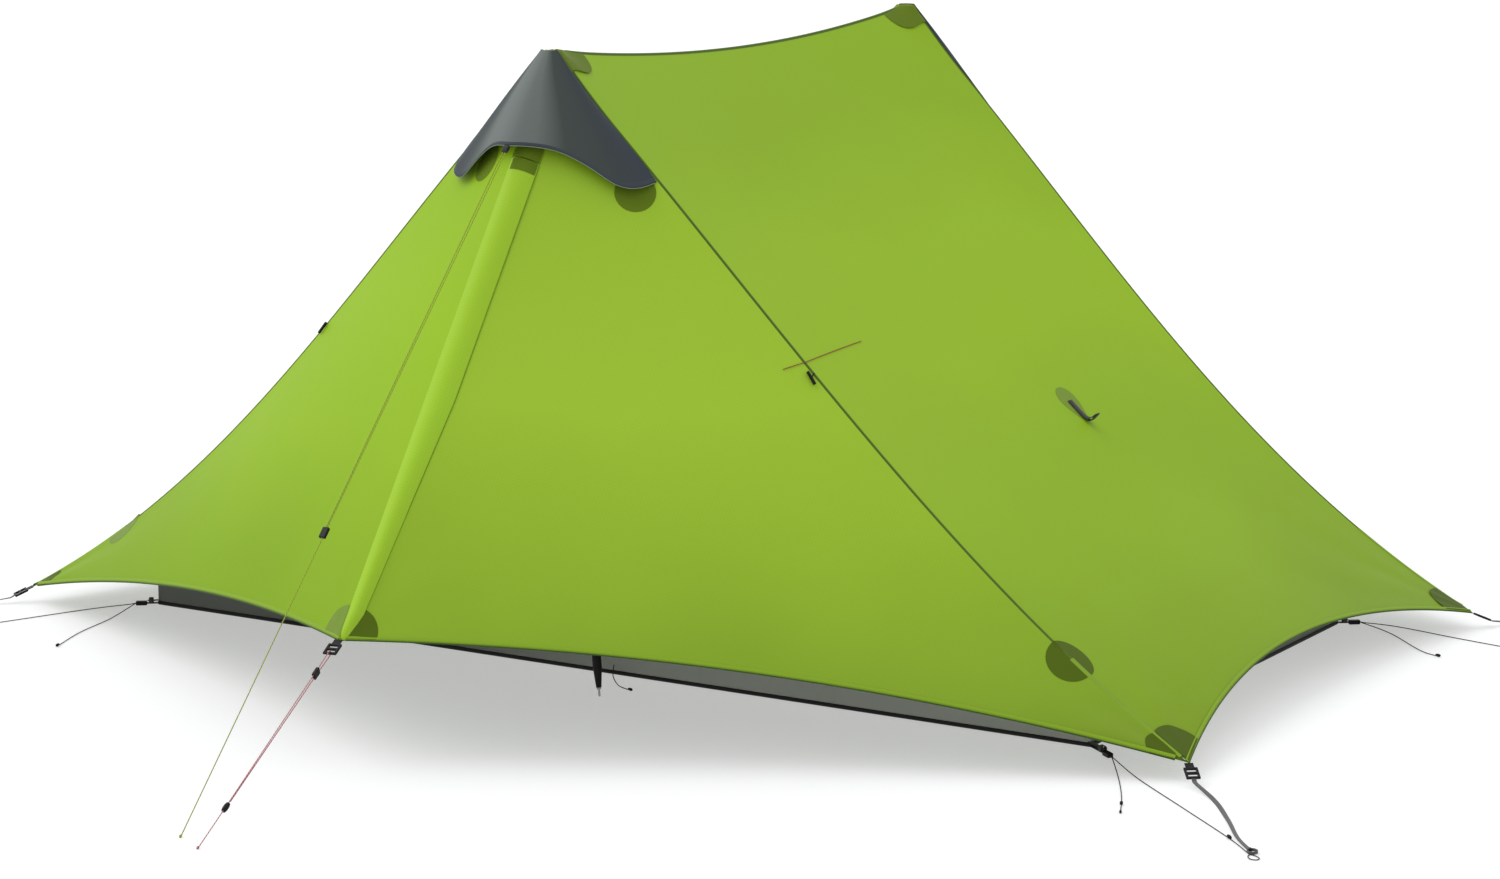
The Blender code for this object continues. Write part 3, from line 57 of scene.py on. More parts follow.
APEX_HEIGHT = 1.250
RIDGE_LENGTH = 1.394
FOOT_LENGTH = 2.744
FOOT_WIDTH = 1.388
FOOT_HEIGHT = 0.034
PORCH_REACH = 0.699
PORCH_HEIGHT = 0.233
RIDGE_SAG = 0.042
SEAM_SAG = 0.066
SEAM_SAG_SKEW = 0.8
PORCH_HEM_HOLLOW = 0.050
END_HEM_HOLLOW = 0.124
CLOTH = 0.0015
GAP = 0.0003
DOOR_TOP_DROP = 0.230
CORNER_TRIM = 0.030
FLAP_WIDTH = 0.054
FLAP_TIP_WIDTH = 0.012
FLAP_END_WIDTH = 0.025
FLAP_TAPER = 0.500
FLAP_RISE = 0.014
FLAP_SETTLE = 0.94
FLAP_SPLIT_DROP = 0.490
HOOD_CREST_DOWN = 0.222
HOOD_CREST_OUT = 0.0282
HOOD_EDGE_RIGHT = (
    (0.2147, 0.0171, 0.0282), (0.2086, 0.0485, 0.0283), (0.2048, 0.0833, 0.0257), (0.2100, 0.1221, 0.0222),
    (0.2194, 0.1630, 0.0165), (0.2308, 0.1964, 0.0124), (0.2331, 0.2260, 0.0092), (0.2223, 0.2536, 0.0056))
HOOD_EDGE_LEFT = (
    (0.2155, 0.0174, 0.0277), (0.2094, 0.0555, 0.0231), (0.2152, 0.0912, 0.0189), (0.2299, 0.1223, 0.0151),
    (0.2447, 0.1464, 0.0118), (0.2484, 0.1731, 0.0075), (0.2379, 0.2006, 0.0063), (0.2177, 0.2271, 0.0026))
HOOD_RIGHT_RUN = 0.336
HOOD_LEFT_RUN = 0.312
HOOD_BOW = 0.005
HOOD_REST = CLOTH + 0.0012
CUP_RADIUS = 0.019
CAP_REACH = 0.052
CAP_REACH_ALONG_RIDGE = 0.105
TENTED_REACH = 0.150
CAP_THICKNESS = 0.0014
CORNER_PATCH = 0.085
PORCH_PATCH = 0.068
INNER_LENGTH = FOOT_LENGTH - 0.504
INNER_WIDTH = FOOT_WIDTH - 0.230
TRAY_WALL = 0.120
INNER_PEAK_Y = RIDGE_LENGTH / 2 - 0.097
INNER_PEAK_HEIGHT = APEX_HEIGHT - 0.210
INNER_RIDGE_SAG = 0.050
TOGGLE_SEAM_RUN = 0.815
PULLOUT_RUN = 1.085
PULLOUT_OFFSET = 0.118
CORD_RADIUS = 0.0010
STRAP_RADIUS = 0.0020
LOCK_LENGTH = 0.024
LOCK_THICKNESS = 0.009
GUY_RADIUS = 0.0010
BUCKLE_REACH = 0.044
BUCKLE_BAR = 0.0040
PORCH_TAB_START = 0.0010
APEX_GUY_FOOT = (0.055, -RIDGE_LENGTH / 2 - PORCH_REACH - 0.521)
PORCH_GUY_FOOT = (0.124, -RIDGE_LENGTH / 2 - PORCH_REACH - 0.559)
APEX_TENSIONER_DOWN = 0.866
PORCH_TENSIONER_DOWN = 0.052
TENSIONER_LENGTH = 0.022
LOOP_LENGTH = 0.016
LOOP_BAR = 0.0028
HEM_WIDTH = 0.008
HEM_STEPS = 90
SEAM_PATCH_PLACE = 0.842
SEAM_PATCH_RADIUS = 0.047
HOOD_PATCH_RADIUS = 0.040
PATCH_LIFT = 0.0004
DISC_RINGS = 6
DISC_STEPS = 28
HOOD_COLUMNS = 96
HOOD_ROWS = 26
HOOD_SEAM_OFFSET = 0.004
TAB_REACH = 0.024
LONG_TAB_REACH = 0.056
PEG_LOOP_LENGTH = 0.034
STRAP_WIDTH = 0.0090
KNOT_SIZE = 0.0050

MIRROR_X = Matrix.Diagonal((-1.0, 1.0, 1.0))
MIRROR_Y = Matrix.Diagonal((1.0, -1.0, 1.0))
FRONT = Matrix.Identity(3)
REAR = Matrix.Rotation(math.pi, 3, "Z")
UP = Vector((0.0, 0.0, 1.0))
X_WAY = Vector((1.0, 0.0, 0.0))
Y_WAY = Vector((0.0, 1.0, 0.0))
SIDES = (("front", FRONT), ("rear", REAR))
HANDS = (("right", FRONT), ("left", MIRROR_X))
ENDS = (("right", FRONT), ("left", REAR))
HALVES = [(side_name, hand, turn @ mirror) for side_name, turn in SIDES for hand, mirror in HANDS]
CORNERS = (("front_right", 1, -1), ("front_left", -1, -1), ("rear_right", 1, 1), ("rear_left", -1, 1))

APEX = Vector((0.0, -RIDGE_LENGTH / 2, APEX_HEIGHT))
FOOT = Vector((FOOT_LENGTH / 2, -FOOT_WIDTH / 2, FOOT_HEIGHT))
PORCH = Vector((0.0, -RIDGE_LENGTH / 2 - PORCH_REACH, PORCH_HEIGHT))
END_NORMAL = (FOOT - APEX).cross(Y_WAY).normalized()
DOOR_NORMAL = (PORCH - APEX).cross(FOOT - APEX).normalized()
if END_NORMAL.z < 0.0:
    END_NORMAL = -END_NORMAL
if DOOR_NORMAL.z < 0.0:
    DOOR_NORMAL = -DOOR_NORMAL
LEFT_NORMAL = MIRROR_X @ DOOR_NORMAL
CREST_NORMAL = (END_NORMAL + DOOR_NORMAL).normalized()
SEAM_LENGTH = (FOOT - APEX).length
ZIP_LENGTH = (PORCH - APEX).length
ZIP_DOWN = (PORCH - APEX) / ZIP_LENGTH
ZIP_ACROSS = DOOR_NORMAL.cross(ZIP_DOWN).normalized()
if ZIP_ACROSS.x < 0.0:
    ZIP_ACROSS = -ZIP_ACROSS
SEAM_DOWN = (FOOT - APEX).normalized()
SEAM_TO_DOOR = DOOR_NORMAL.cross(SEAM_DOWN)
if SEAM_TO_DOOR.z > 0.0:
    SEAM_TO_DOOR = -SEAM_TO_DOOR
SEAM_TO_END = Y_WAY
END_DOWN = Vector((SEAM_DOWN.x, 0.0, SEAM_DOWN.z)).normalized()
DOOR_TOP_SHARE = DOOR_TOP_DROP / ZIP_LENGTH
CORNER_SHARE = 1.0 - CORNER_TRIM / SEAM_LENGTH
HOOD_FACING = Vector((0.0, -0.82, 0.57))
POLE_FOOT = Vector((0.130, -0.740, GAP))


# The shape of the tent, as its solids have it

def seam_point(t):
    sag = SEAM_SAG * 4.0 * t * (1.0 - t) * (1.0 + SEAM_SAG_SKEW * (2.0 * t - 1.0))
    return APEX.lerp(FOOT, t) - CREST_NORMAL * sag


def porch_hem_point(s):
    up = DOOR_NORMAL.cross((FOOT - PORCH).normalized())
    if up.z < 0.0:
        up = -up
    return PORCH.lerp(FOOT, s) + up * (PORCH_HEM_HOLLOW * 4.0 * s * (1.0 - s))


def door_point(s, q):
    return seam_point(s).lerp(porch_hem_point(s), q)


def end_hem_point(u):
    return FOOT.lerp(MIRROR_Y @ FOOT, u) - END_DOWN * (END_HEM_HOLLOW * 4.0 * u * (1.0 - u))


def ridge_point(u):
    point = APEX.lerp(MIRROR_Y @ APEX, u)
    point.z -= RIDGE_SAG * 4.0 * u * (1.0 - u)
    return point


def end_point(u, v):
    across = seam_point(v).lerp(MIRROR_Y @ seam_point(v), u)
    along = ridge_point(u).lerp(end_hem_point(u), v)
    corners = APEX.lerp(MIRROR_Y @ APEX, u).lerp(FOOT.lerp(MIRROR_Y @ FOOT, u), v)
    return across + along - corners


def flap_width(drop):
    """The storm flap narrows towards the porch point, and more so over its last few centimetres."""
    left = max(ZIP_LENGTH - drop, 0.0)
    share = min(left / FLAP_TAPER, 1.0)
    return min(FLAP_END_WIDTH + (FLAP_WIDTH - FLAP_END_WIDTH) * share, FLAP_TIP_WIDTH + 0.30 * left)


def zip_point(down, across, out):
    """A place beside the zip line: down it from the apex, across to the right, and outwards."""
    return APEX + ZIP_DOWN * down + ZIP_ACROSS * across + DOOR_NORMAL * out


def hood_crest():
    """The top of the hood's lower edge, which stands straight off the zip line."""
    off = Vector((0.0, ZIP_DOWN.z, -ZIP_DOWN.y))
    return APEX + ZIP_DOWN * HOOD_CREST_DOWN + off * HOOD_CREST_OUT


def flap_place(drop, share):
    """On the storm flap's outer face: a drop down the zip line, and a share of its width across.
    It springs off the left leaf over the zip, and settles again on the right leaf."""
    width = flap_width(drop)
    rise = min(FLAP_RISE, 0.30 * max(ZIP_LENGTH - drop, 0.0))
    lift = rise * (1.0 - (1.0 - share) ** 3) * (1.0 - FLAP_SETTLE * share * share)
    skin = LEFT_NORMAL.lerp(DOOR_NORMAL, min(share * 2.0, 1.0)) * CLOTH
    return APEX + ZIP_DOWN * drop + ZIP_ACROSS * (width * share) + DOOR_NORMAL * lift + skin


def plane_drop(x, y):
    """How far the fly's planes lie below the apex, at a place beside it."""
    end_fall = -abs(x) * END_NORMAL.x / END_NORMAL.z - 0.12 * max(y, 0.0)
    door_fall = -(DOOR_NORMAL.x * abs(x) + DOOR_NORMAL.y * y) / DOOR_NORMAL.z
    return min(end_fall, door_fall)


def tented(point, layer=0.0):
    """The point, lifted where the cloth runs over an apex cup: flat on it, then down to the planes."""
    lifted = Vector(point)
    y = RIDGE_LENGTH / 2 - abs(point.y)
    reach = math.hypot(point.x, y)
    if reach >= TENTED_REACH:
        return lifted
    if reach <= CUP_RADIUS:
        lifted.z = APEX.z + CAP_THICKNESS * 0.5 + layer
        return lifted
    rim = plane_drop(point.x * CUP_RADIUS / reach, y * CUP_RADIUS / reach)
    share = (reach - CUP_RADIUS) / (TENTED_REACH - CUP_RADIUS)
    lifted.z += (CAP_THICKNESS * 0.5 - rim) * (1.0 - share) ** 2
    return lifted


def tense(point, corner, into, normal, reach, folds, height):
    """How far the cloth stands proud beside a corner that is pulled: low folds that fan out from it."""
    away = point - corner
    flat = away - normal * away.dot(normal)
    distance = flat.length
    if distance < 1e-6:
        return 0.0
    turn = math.atan2(flat.dot(normal.cross(into)), flat.dot(into))
    swell = math.exp(-distance / reach) * min(distance / 0.06, 1.0)
    return height * swell * math.sin(turn * folds)


def edge_ease(u, v):
    """1 over the middle of a sheet and 0 along its edges."""
    return min(1.0, 12.0 * min(u, 1.0 - u), 12.0 * min(v, 1.0 - v))


def smooth_route(points, count):
    """Even points on a smooth curve through the given ones."""
    dense = []
    ends = [points[0] * 2 - points[1]] + list(points) + [points[-1] * 2 - points[-2]]
    for p0, p1, p2, p3 in zip(ends, ends[1:], ends[2:], ends[3:]):
        for step in range(24):
            t = step / 24
            bend = (p1 * 2 + (p2 - p0) * t + (p0 * 2 - p1 * 5 + p2 * 4 - p3) * t * t
                    + (p1 * 3 - p0 - p2 * 3 + p3) * t * t * t)
            dense.append(bend * 0.5)
    dense.append(points[-1])
    runs = [0.0]
    for first, second in zip(dense, dense[1:]):
        runs.append(runs[-1] + (second - first).length)
    even = []
    place_in = 0
    for step in range(count):
        target = runs[-1] * step / (count - 1)
        while place_in < len(runs) - 2 and runs[place_in + 1] < target:
            place_in += 1
        span = max(runs[place_in + 1] - runs[place_in], 1e-9)
        even.append(dense[place_in].lerp(dense[place_in + 1], min((target - runs[place_in]) / span, 1.0)))
    return even


# Finishes

def rgb(code):
    """An sRGB hex value as the linear colour that the shader wants."""
    shares = [int(code[place:place + 2], 16) / 255.0 for place in (0, 2, 4)]
    linear = [share / 12.92 if share <= 0.04045 else ((share + 0.055) / 1.055) ** 2.4 for share in shares]
    return (*linear, 1.0)


def add(nodes, kind, inputs=None, **settings):
    """Add one node with its settings, and set or link its inputs."""
    made = nodes.new(kind)
    for name, value in settings.items():
        setattr(made, name, value)
    for name, value in (inputs or {}).items():
        if isinstance(value, bpy.types.NodeSocket):
            nodes.id_data.links.new(value, made.inputs[name])
        else:
            made.inputs[name].default_value = value
    return made


def calc(nodes, operation, *values):
    """The result of one sum on numbers and on the outputs of other nodes."""
    return add(nodes, "ShaderNodeMath", dict(enumerate(values)), operation=operation).outputs[0]


def blended(nodes, share, low, high):
    """The colour between two, each given as an sRGB hex value or as the output of a node."""
    low, high = (rgb(tone) if isinstance(tone, str) else tone for tone in (low, high))
    return add(nodes, "ShaderNodeMix", {0: share, 6: low, 7: high}, data_type="RGBA").outputs[2]


def cloudy(nodes, place, scale, detail, **others):
    """Noise at a place, from 0 to 1."""
    inputs = {"Vector": place, "Scale": scale, "Detail": detail, **others}
    return add(nodes, "ShaderNodeTexNoise", inputs).outputs["Fac"]


def bands(nodes, place, spacing, way):
    """Lines that far apart, in metres, which follow each other along X or Y."""
    inputs = {"Vector": place, "Scale": math.pi / 10.0 / spacing}
    return add(nodes, "ShaderNodeTexWave", inputs, bands_direction=way).outputs["Fac"]


def remapped(nodes, value, source=(0.0, 1.0), target=(0.0, 1.0)):
    """A value, taken from one range to another and held within it."""
    inputs = {"Value": value, "From Min": source[0], "From Max": source[1],
              "To Min": target[0], "To Max": target[1]}
    return add(nodes, "ShaderNodeMapRange", inputs).outputs["Result"]


def apart(nodes, vector):
    """The parts of a vector, by the names X, Y and Z."""
    return add(nodes, "ShaderNodeSeparateXYZ", {"Vector": vector}).outputs


def raised(nodes, height, strength, distance, below=None):
    """A relief of that height, on top of another one where that is given."""
    inputs = {"Height": height, "Strength": strength, "Distance": distance}
    if below is not None:
        inputs["Normal"] = below
    return add(nodes, "ShaderNodeBump", inputs).outputs["Normal"]


def tone_ramp(nodes, value, tones):
    """The colour at a value, from pairs of a value and a colour."""
    ramp = add(nodes, "ShaderNodeValToRGB", {"Fac": value})
    stops = ramp.color_ramp.elements
    stops[0].position, stops[1].position = tones[0][0], tones[-1][0]
    stops[0].color, stops[1].color = rgb(tones[0][1]), rgb(tones[-1][1])
    for position, code in tones[1:-1]:
        stops.new(position).color = rgb(code)
    return ramp.outputs["Color"]


def new_finish(name, roughness, **shader_values):
    """An empty finish: its nodes, its shader with the values that are the same all over, and the places."""
    paint = bpy.data.materials.new(name)
    paint.use_nodes = True
    nodes = paint.node_tree.nodes
    shader = nodes["Principled BSDF"]
    shader.inputs["Roughness"].default_value = roughness
    for key, value in shader_values.items():
        shader.inputs[key.replace("_", " ")].default_value = value
    return paint, nodes, shader, add(nodes, "ShaderNodeTexCoord").outputs


def dressed(paint, shader, **outputs):
    """The finish, with those outputs led into its shader."""
    for key, output in outputs.items():
        paint.node_tree.links.new(output, shader.inputs[key.replace("_", " ")])
    return paint


RIPSTOP_SPACING = 0.006
MESH_SPACING = 0.004
WEB_RIB = 0.0016
BRAID_PITCH = 0.0040
STITCH_LENGTH = 0.0042
COIL_PITCH = 0.0022
SHADE_TO_LIGHT_SPAN = (-0.42, 0.14)


def ripstop_silnylon(name, tones, spread_over="height", shine=0.46, mirror=0.16):
    """Ripstop nylon of thin yarn, coated with silicone on both sides.
    The eye sees an even, smooth cloth with a soft shine and a faint square grid of thicker yarns. The light
    that comes through it is painted into its tones: brighter in the middle of a panel and deeper towards the
    ground and the ridge. The tones run over its height, or round a hood from its left lobe to its right one,
    where they paint a lit left flank and a shaded right flank and lobes."""
    paint, nodes, shader, place = new_finish(name, shine, Specular_IOR_Level=mirror)
    # Painted light: these tones stand for light through the cloth, and round a hood for its lit and shaded
    # flanks
    if spread_over == "height":
        share = calc(nodes, "MULTIPLY", apart(nodes, place["Object"])["Z"], 1.0 / APEX_HEIGHT)
    else:
        share = apart(nodes, add(nodes, "ShaderNodeUVMap", uv_map="shares").outputs["UV"])["X"]
    clouds = cloudy(nodes, place["Object"], 1.7, 2.0, Roughness=0.45)
    drift = remapped(nodes, clouds, (0.3, 0.7), (-0.05, 0.05))
    tone = tone_ramp(nodes, calc(nodes, "ADD", share, drift), tones)
    # A real grid of 5 to 6 mm, with its ribs drawn about twice as wide as the yarn, so that they show
    grid = [bands(nodes, place["UV"], RIPSTOP_SPACING, way) for way in "XY"]
    ribs = calc(nodes, "POWER", calc(nodes, "MAXIMUM", *grid), 14.0)
    slack = raised(nodes, cloudy(nodes, place["Object"], 14.0, 3.0), 0.10, 0.010)
    tone = blended(nodes, calc(nodes, "MULTIPLY", ribs, 0.06), tone, "3C4A18")
    return dressed(paint, shader, Base_Color=tone, Normal=raised(nodes, ribs, 0.125, 0.0002, slack))


def sewn_tape(name, face, thread, rows):
    """A folded and felled strip of the same nylon with rows of lockstitch.
    The eye sees a narrow raised band and small dashes of thread along it."""
    paint, nodes, shader, place = new_finish(name, 0.6, Specular_IOR_Level=0.2)
    band = apart(nodes, place["UV"])
    # Real stitches are 3 mm long, and these are 4 mm, so that they show from a step away
    dash = calc(nodes, "FRACT", calc(nodes, "MULTIPLY", band["X"], 1.0 / STITCH_LENGTH))
    row = calc(nodes, "FRACT", calc(nodes, "MULTIPLY", band["Y"], float(rows)))
    stitches = calc(nodes, "MULTIPLY", calc(nodes, "LESS_THAN", dash, 0.72),
                    calc(nodes, "COMPARE", row, 0.5, 0.09))
    folds = raised(nodes, cloudy(nodes, place["Object"], 160.0, 2.0), 0.35, 0.0008)
    return dressed(paint, shader, Base_Color=blended(nodes, stitches, face, thread),
                   Normal=raised(nodes, stitches, 0.5, 0.0003, folds))


def coated_floor_nylon(name, face, shade, painted_light_face=None, painted_light_shade=None):
    """Thicker nylon with a polyurethane coat, for the bathtub floor.
    The eye sees a dull, slightly rubbery grey cloth with creases from packing.
    With the painted light greys, it turns along x from painted shade at the left to painted light at the
    middle of the tent."""
    paint, nodes, shader, place = new_finish(name, 0.58)
    wear = cloudy(nodes, place["Object"], 9.0, 4.0)
    tone = blended(nodes, wear, shade, face)
    # Painted light: along x the grey turns from the shaded copy's to the lit copy's
    if painted_light_face:
        along = remapped(nodes, apart(nodes, place["Object"])["X"], SHADE_TO_LIGHT_SPAN)
        tone = blended(nodes, along, tone, blended(nodes, wear, painted_light_shade, painted_light_face))
    packing = add(nodes, "ShaderNodeTexVoronoi", {"Vector": place["Object"], "Scale": 16.0},
                  feature="DISTANCE_TO_EDGE").outputs["Distance"]
    height = calc(nodes, "ADD", calc(nodes, "LESS_THAN", packing, 0.05),
                  cloudy(nodes, place["Object"], 40.0, 3.0))
    return dressed(paint, shader, Base_Color=tone, Normal=raised(nodes, height, 0.18, 0.0015))


def insect_mesh(name, face):
    """Knitted polyester insect mesh.
    The eye sees a grey veil that lets about half of what lies behind it through."""
    paint, nodes, shader, place = new_finish(name, 0.75, Sheen_Weight=0.1)
    # The holes are under 1 mm across. They are drawn 4 mm apart, so that the knit shows at all
    knit = calc(nodes, "MAXIMUM", *(bands(nodes, place["UV"], MESH_SPACING, way) for way in "XY"))
    return dressed(paint, shader, Base_Color=blended(nodes, knit, face, "9A9A96"),
                   Alpha=remapped(nodes, knit, target=(0.35, 0.75)))


def woven_webbing(name, face, shade):
    """Polyester webbing from a needle loom.
    The eye sees cross ribs with no shine, and painted shade in the dips between them."""
    paint, nodes, shader, place = new_finish(name, 0.82, Sheen_Weight=0.15)
    # Painted shade: the dips between the ribs are darker
    ribs = calc(nodes, "MULTIPLY", bands(nodes, place["UV"], WEB_RIB, "X"),
                cloudy(nodes, place["Object"], 900.0, 2.0))
    return dressed(paint, shader, Base_Color=blended(nodes, ribs, shade, face),
                   Normal=raised(nodes, ribs, 0.6, 0.0004))


def braided_cord(name, face, fleck):
    """A braided polyester line of 2 mm.
    The eye sees crossed strands with a fleck of a second yarn in the braid."""
    paint, nodes, shader, place = new_finish(name, 0.7)
    line = apart(nodes, place["UV"])
    turns = calc(nodes, "MULTIPLY", line["X"], 1.0 / BRAID_PITCH)
    strands = calc(nodes, "MULTIPLY", line["Y"], 4.0)
    ridges = [calc(nodes, "PINGPONG", calc(nodes, way, turns, strands), 1.0) for way in ("ADD", "SUBTRACT")]
    tone = blended(nodes, calc(nodes, "GREATER_THAN", ridges[0], 0.775), face, fleck)
    return dressed(paint, shader, Base_Color=tone,
                   Normal=raised(nodes, calc(nodes, "MAXIMUM", *ridges), 0.5, 0.0003))


def moulded_acetal(name, face, roughness=0.38):
    """Acetal plastic from an injection mould.
    The eye sees dense black with a low waxy shine and a very fine spark-eroded grain."""
    paint, nodes, shader, place = new_finish(name, roughness, IOR=1.48, Specular_IOR_Level=0.18)
    rubbed = remapped(nodes, cloudy(nodes, place["Object"], 120.0, 3.0), (0.55, 0.8), (0.0, 0.35))
    grain = cloudy(nodes, place["Object"], 1400.0, 2.0)
    return dressed(paint, shader, Base_Color=blended(nodes, rubbed, face, "3A3A3B"),
                   Normal=raised(nodes, grain, 0.25, 0.0001))


def anodised_aluminium(name, face):
    """Drawn aluminium tube, anodised.
    The eye sees fine lines along the tube under a hard, slightly satin skin."""
    paint, nodes, shader, place = new_finish(name, 0.34, Metallic=1.0)
    stretched = add(nodes, "ShaderNodeMapping", {"Vector": place["Object"], "Scale": (900.0, 900.0, 12.0)})
    drawn = cloudy(nodes, stretched.outputs["Vector"], 1.0, 2.0)
    return dressed(paint, shader, Base_Color=blended(nodes, drawn, face, "A9ACAF"),
                   Roughness=remapped(nodes, drawn, target=(0.26, 0.44)))


def cellular_foam(name, face):
    """Closed-cell EVA foam, ground to shape.
    The eye sees dull black with small open cells, with painted shade making the inside of each cell
    near-black."""
    paint, nodes, shader, place = new_finish(name, 0.9)
    # Painted shade: each cell is darker towards its middle
    cells = add(nodes, "ShaderNodeTexVoronoi", {"Vector": place["Object"], "Scale": 700.0})
    depth = cells.outputs["Distance"]
    return dressed(paint, shader, Base_Color=blended(nodes, depth, "0E0E0F", face),
                   Normal=raised(nodes, depth, 0.5, 0.0006))


def zip_coil(name, way):
    """A nylon coil zip on its tape.
    The eye sees a row of fine cross teeth down the middle of a dull black tape."""
    paint, nodes, shader, place = new_finish(name, 0.55)
    down = add(nodes, "ShaderNodeVectorMath", {0: place["Object"], 1: way}, operation="DOT_PRODUCT")
    tooth = calc(nodes, "PINGPONG", calc(nodes, "MULTIPLY", down.outputs["Value"], 1.0 / COIL_PITCH), 0.5)
    return dressed(paint, shader, Base_Color=blended(nodes, tooth, "0C0C0D", "3A3A3A"),
                   Normal=raised(nodes, tooth, 0.8, 0.0008))


# Pieces

def new_piece(name, points, faces, paint, uvs=None):
    """A mesh object with its finish, and a map in metres where one is given for each point."""
    mesh = bpy.data.meshes.new(name)
    mesh.from_pydata([tuple(point) for point in points], [], faces)
    if uvs is not None:
        layer = mesh.uv_layers.new(name="metres")
        for loop in mesh.loops:
            layer.data[loop.index].uv = uvs[loop.vertex_index]
    mesh.materials.append(paint)
    mesh.shade_smooth()
    obj = bpy.data.objects.new(name, mesh)
    bpy.context.scene.collection.objects.link(obj)
    return obj


def grid_faces(columns, rows):
    """Quads over a grid of points that runs along its columns first."""
    wide = columns + 1
    return [(j * wide + i, j * wide + i + 1, (j + 1) * wide + i + 1, (j + 1) * wide + i)
            for j in range(rows) for i in range(columns)]


def facing(points, faces, outward):
    """The faces, turned round where they look away from outward."""
    total = Vector()
    for a, b, c, d in faces:
        total += (points[c] - points[a]).cross(points[d] - points[b])
    if total.dot(outward) < 0.0:
        return [tuple(reversed(face)) for face in faces]
    return faces


def carry(piece, body, slot, *stands_for):
    """Let a piece move with a body, and let it stand for solids. Its slot is not used."""
    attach(piece, body)
    if stands_for:
        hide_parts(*stands_for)
    return piece


def cloth(name, surface, columns, rows, outward, warp, weft, paint):
    """A sheet of cloth laid on surface(u, v). Its map runs in metres along its warp and weft."""
    points = [surface(i / columns, j / rows) for j in range(rows + 1) for i in range(columns + 1)]
    uvs = [(point.dot(warp), point.dot(weft)) for point in points]
    faces = facing(points, grid_faces(columns, rows), outward)
    return new_piece(name, points, faces, paint, uvs)


def porch_cloth(name, surface, columns, rows, place, paint, outward=DOOR_NORMAL):
    """A sheet of a porch, given for its front right half and put in its place."""
    return cloth(name, lambda u, v: place @ surface(u, v), columns, rows, place @ outward,
                 place @ ZIP_ACROSS, place @ ZIP_DOWN, paint)


def cut_size(piece):
    """The width, length and area of the flat cut that a sheet was made from."""
    mesh = piece.data
    places = [one.uv.copy() for one in mesh.uv_layers[0].data]
    best = None
    for turn in range(0, 90, 3):
        way = Vector((math.cos(math.radians(turn)), math.sin(math.radians(turn))))
        along = [place.dot(way) for place in places]
        across = [place.x * way.y - place.y * way.x for place in places]
        box = (max(along) - min(along), max(across) - min(across))
        if best is None or box[0] * box[1] < best[0] * best[1]:
            best = box
    area = sum(face.area for face in mesh.polygons)
    return best, min(area, best[0] * best[1])


def hang(piece):
    """Work out the size of a sheet's flat cut, and give the sheet back unchanged."""
    flat, area = cut_size(piece)
    area = max(area, 0.3 * flat[0] * flat[1])
    return piece


def tape(name, rails, count, paint, turn=FRONT):
    """A band that runs along rails: each is a line t to point, and they lie side by side."""
    points = []
    uvs = []
    run = 0.0
    before = None
    for step in range(count + 1):
        row = [turn @ rail(step / count) for rail in rails]
        if before is not None:
            run += (row[0] - before).length
        before = row[0]
        points.extend(row)
        uvs.extend((run, place / (len(rails) - 1)) for place in range(len(rails)))
    return new_piece(name, points, grid_faces(len(rails) - 1, count), paint, uvs)


def way_at(route, place):
    """The way in which a route runs at one of its points."""
    return (route[min(place + 1, len(route) - 1)] - route[max(place - 1, 0)]).normalized()


def rope(name, route, radius, paint, sides=8):
    """A round line along a route, with its map along and round it, and rounded ends."""
    points = []
    uvs = []
    run = 0.0
    side = Vector((0.31, 0.17, 0.93))
    for place, point in enumerate(route):
        ahead = way_at(route, place)
        side = side - ahead * side.dot(ahead)
        if side.length < 1e-4:
            side = ahead.orthogonal()
        side.normalize()
        other = ahead.cross(side)
        if place > 0:
            run += (point - route[place - 1]).length
        for step in range(sides + 1):
            angle = 2.0 * math.pi * step / sides
            points.append(point + (side * math.cos(angle) + other * math.sin(angle)) * radius)
            uvs.append((run, step / sides))
    faces = grid_faces(sides, len(route) - 1)
    for end in (0, len(route) - 1):
        way = (route[0] - route[1]).normalized() if end == 0 else (route[-1] - route[-2]).normalized()
        start = end * (sides + 1)
        tip = len(points)
        points.append(route[end] + way * radius * 0.6)
        uvs.append((run if end else 0.0, 0.5))
        for step in range(sides):
            pair = (start + step, start + step + 1)
            faces.append((*reversed(pair), tip) if end == 0 else (*pair, tip))
    return new_piece(name, points, faces, paint, uvs)


def strap(name, route, acrosses, width, thickness, paint):
    """Flat webbing along a route, with rounded edges. acrosses gives its width's way at each point."""
    points = []
    uvs = []
    run = 0.0
    ring = [(-0.5, 0.0), (-0.44, 0.5), (0.0, 0.5), (0.44, 0.5), (0.5, 0.0), (0.44, -0.5), (0.0, -0.5),
            (-0.44, -0.5), (-0.5, 0.0)]
    for place, point in enumerate(route):
        ahead = way_at(route, place)
        across = acrosses[place] - ahead * acrosses[place].dot(ahead)
        across.normalize()
        high = ahead.cross(across)
        if place > 0:
            run += (point - route[place - 1]).length
        for number, (wide, tall) in enumerate(ring):
            points.append(point + across * (wide * width) + high * (tall * thickness))
            uvs.append((run, number / 8.0))
    faces = grid_faces(len(ring) - 1, len(route) - 1)
    last = len(points) - len(ring)
    faces.append(tuple(range(len(ring) - 1)))
    faces.append(tuple(last + number for number in reversed(range(len(ring) - 1))))
    return new_piece(name, points, faces, paint, uvs)


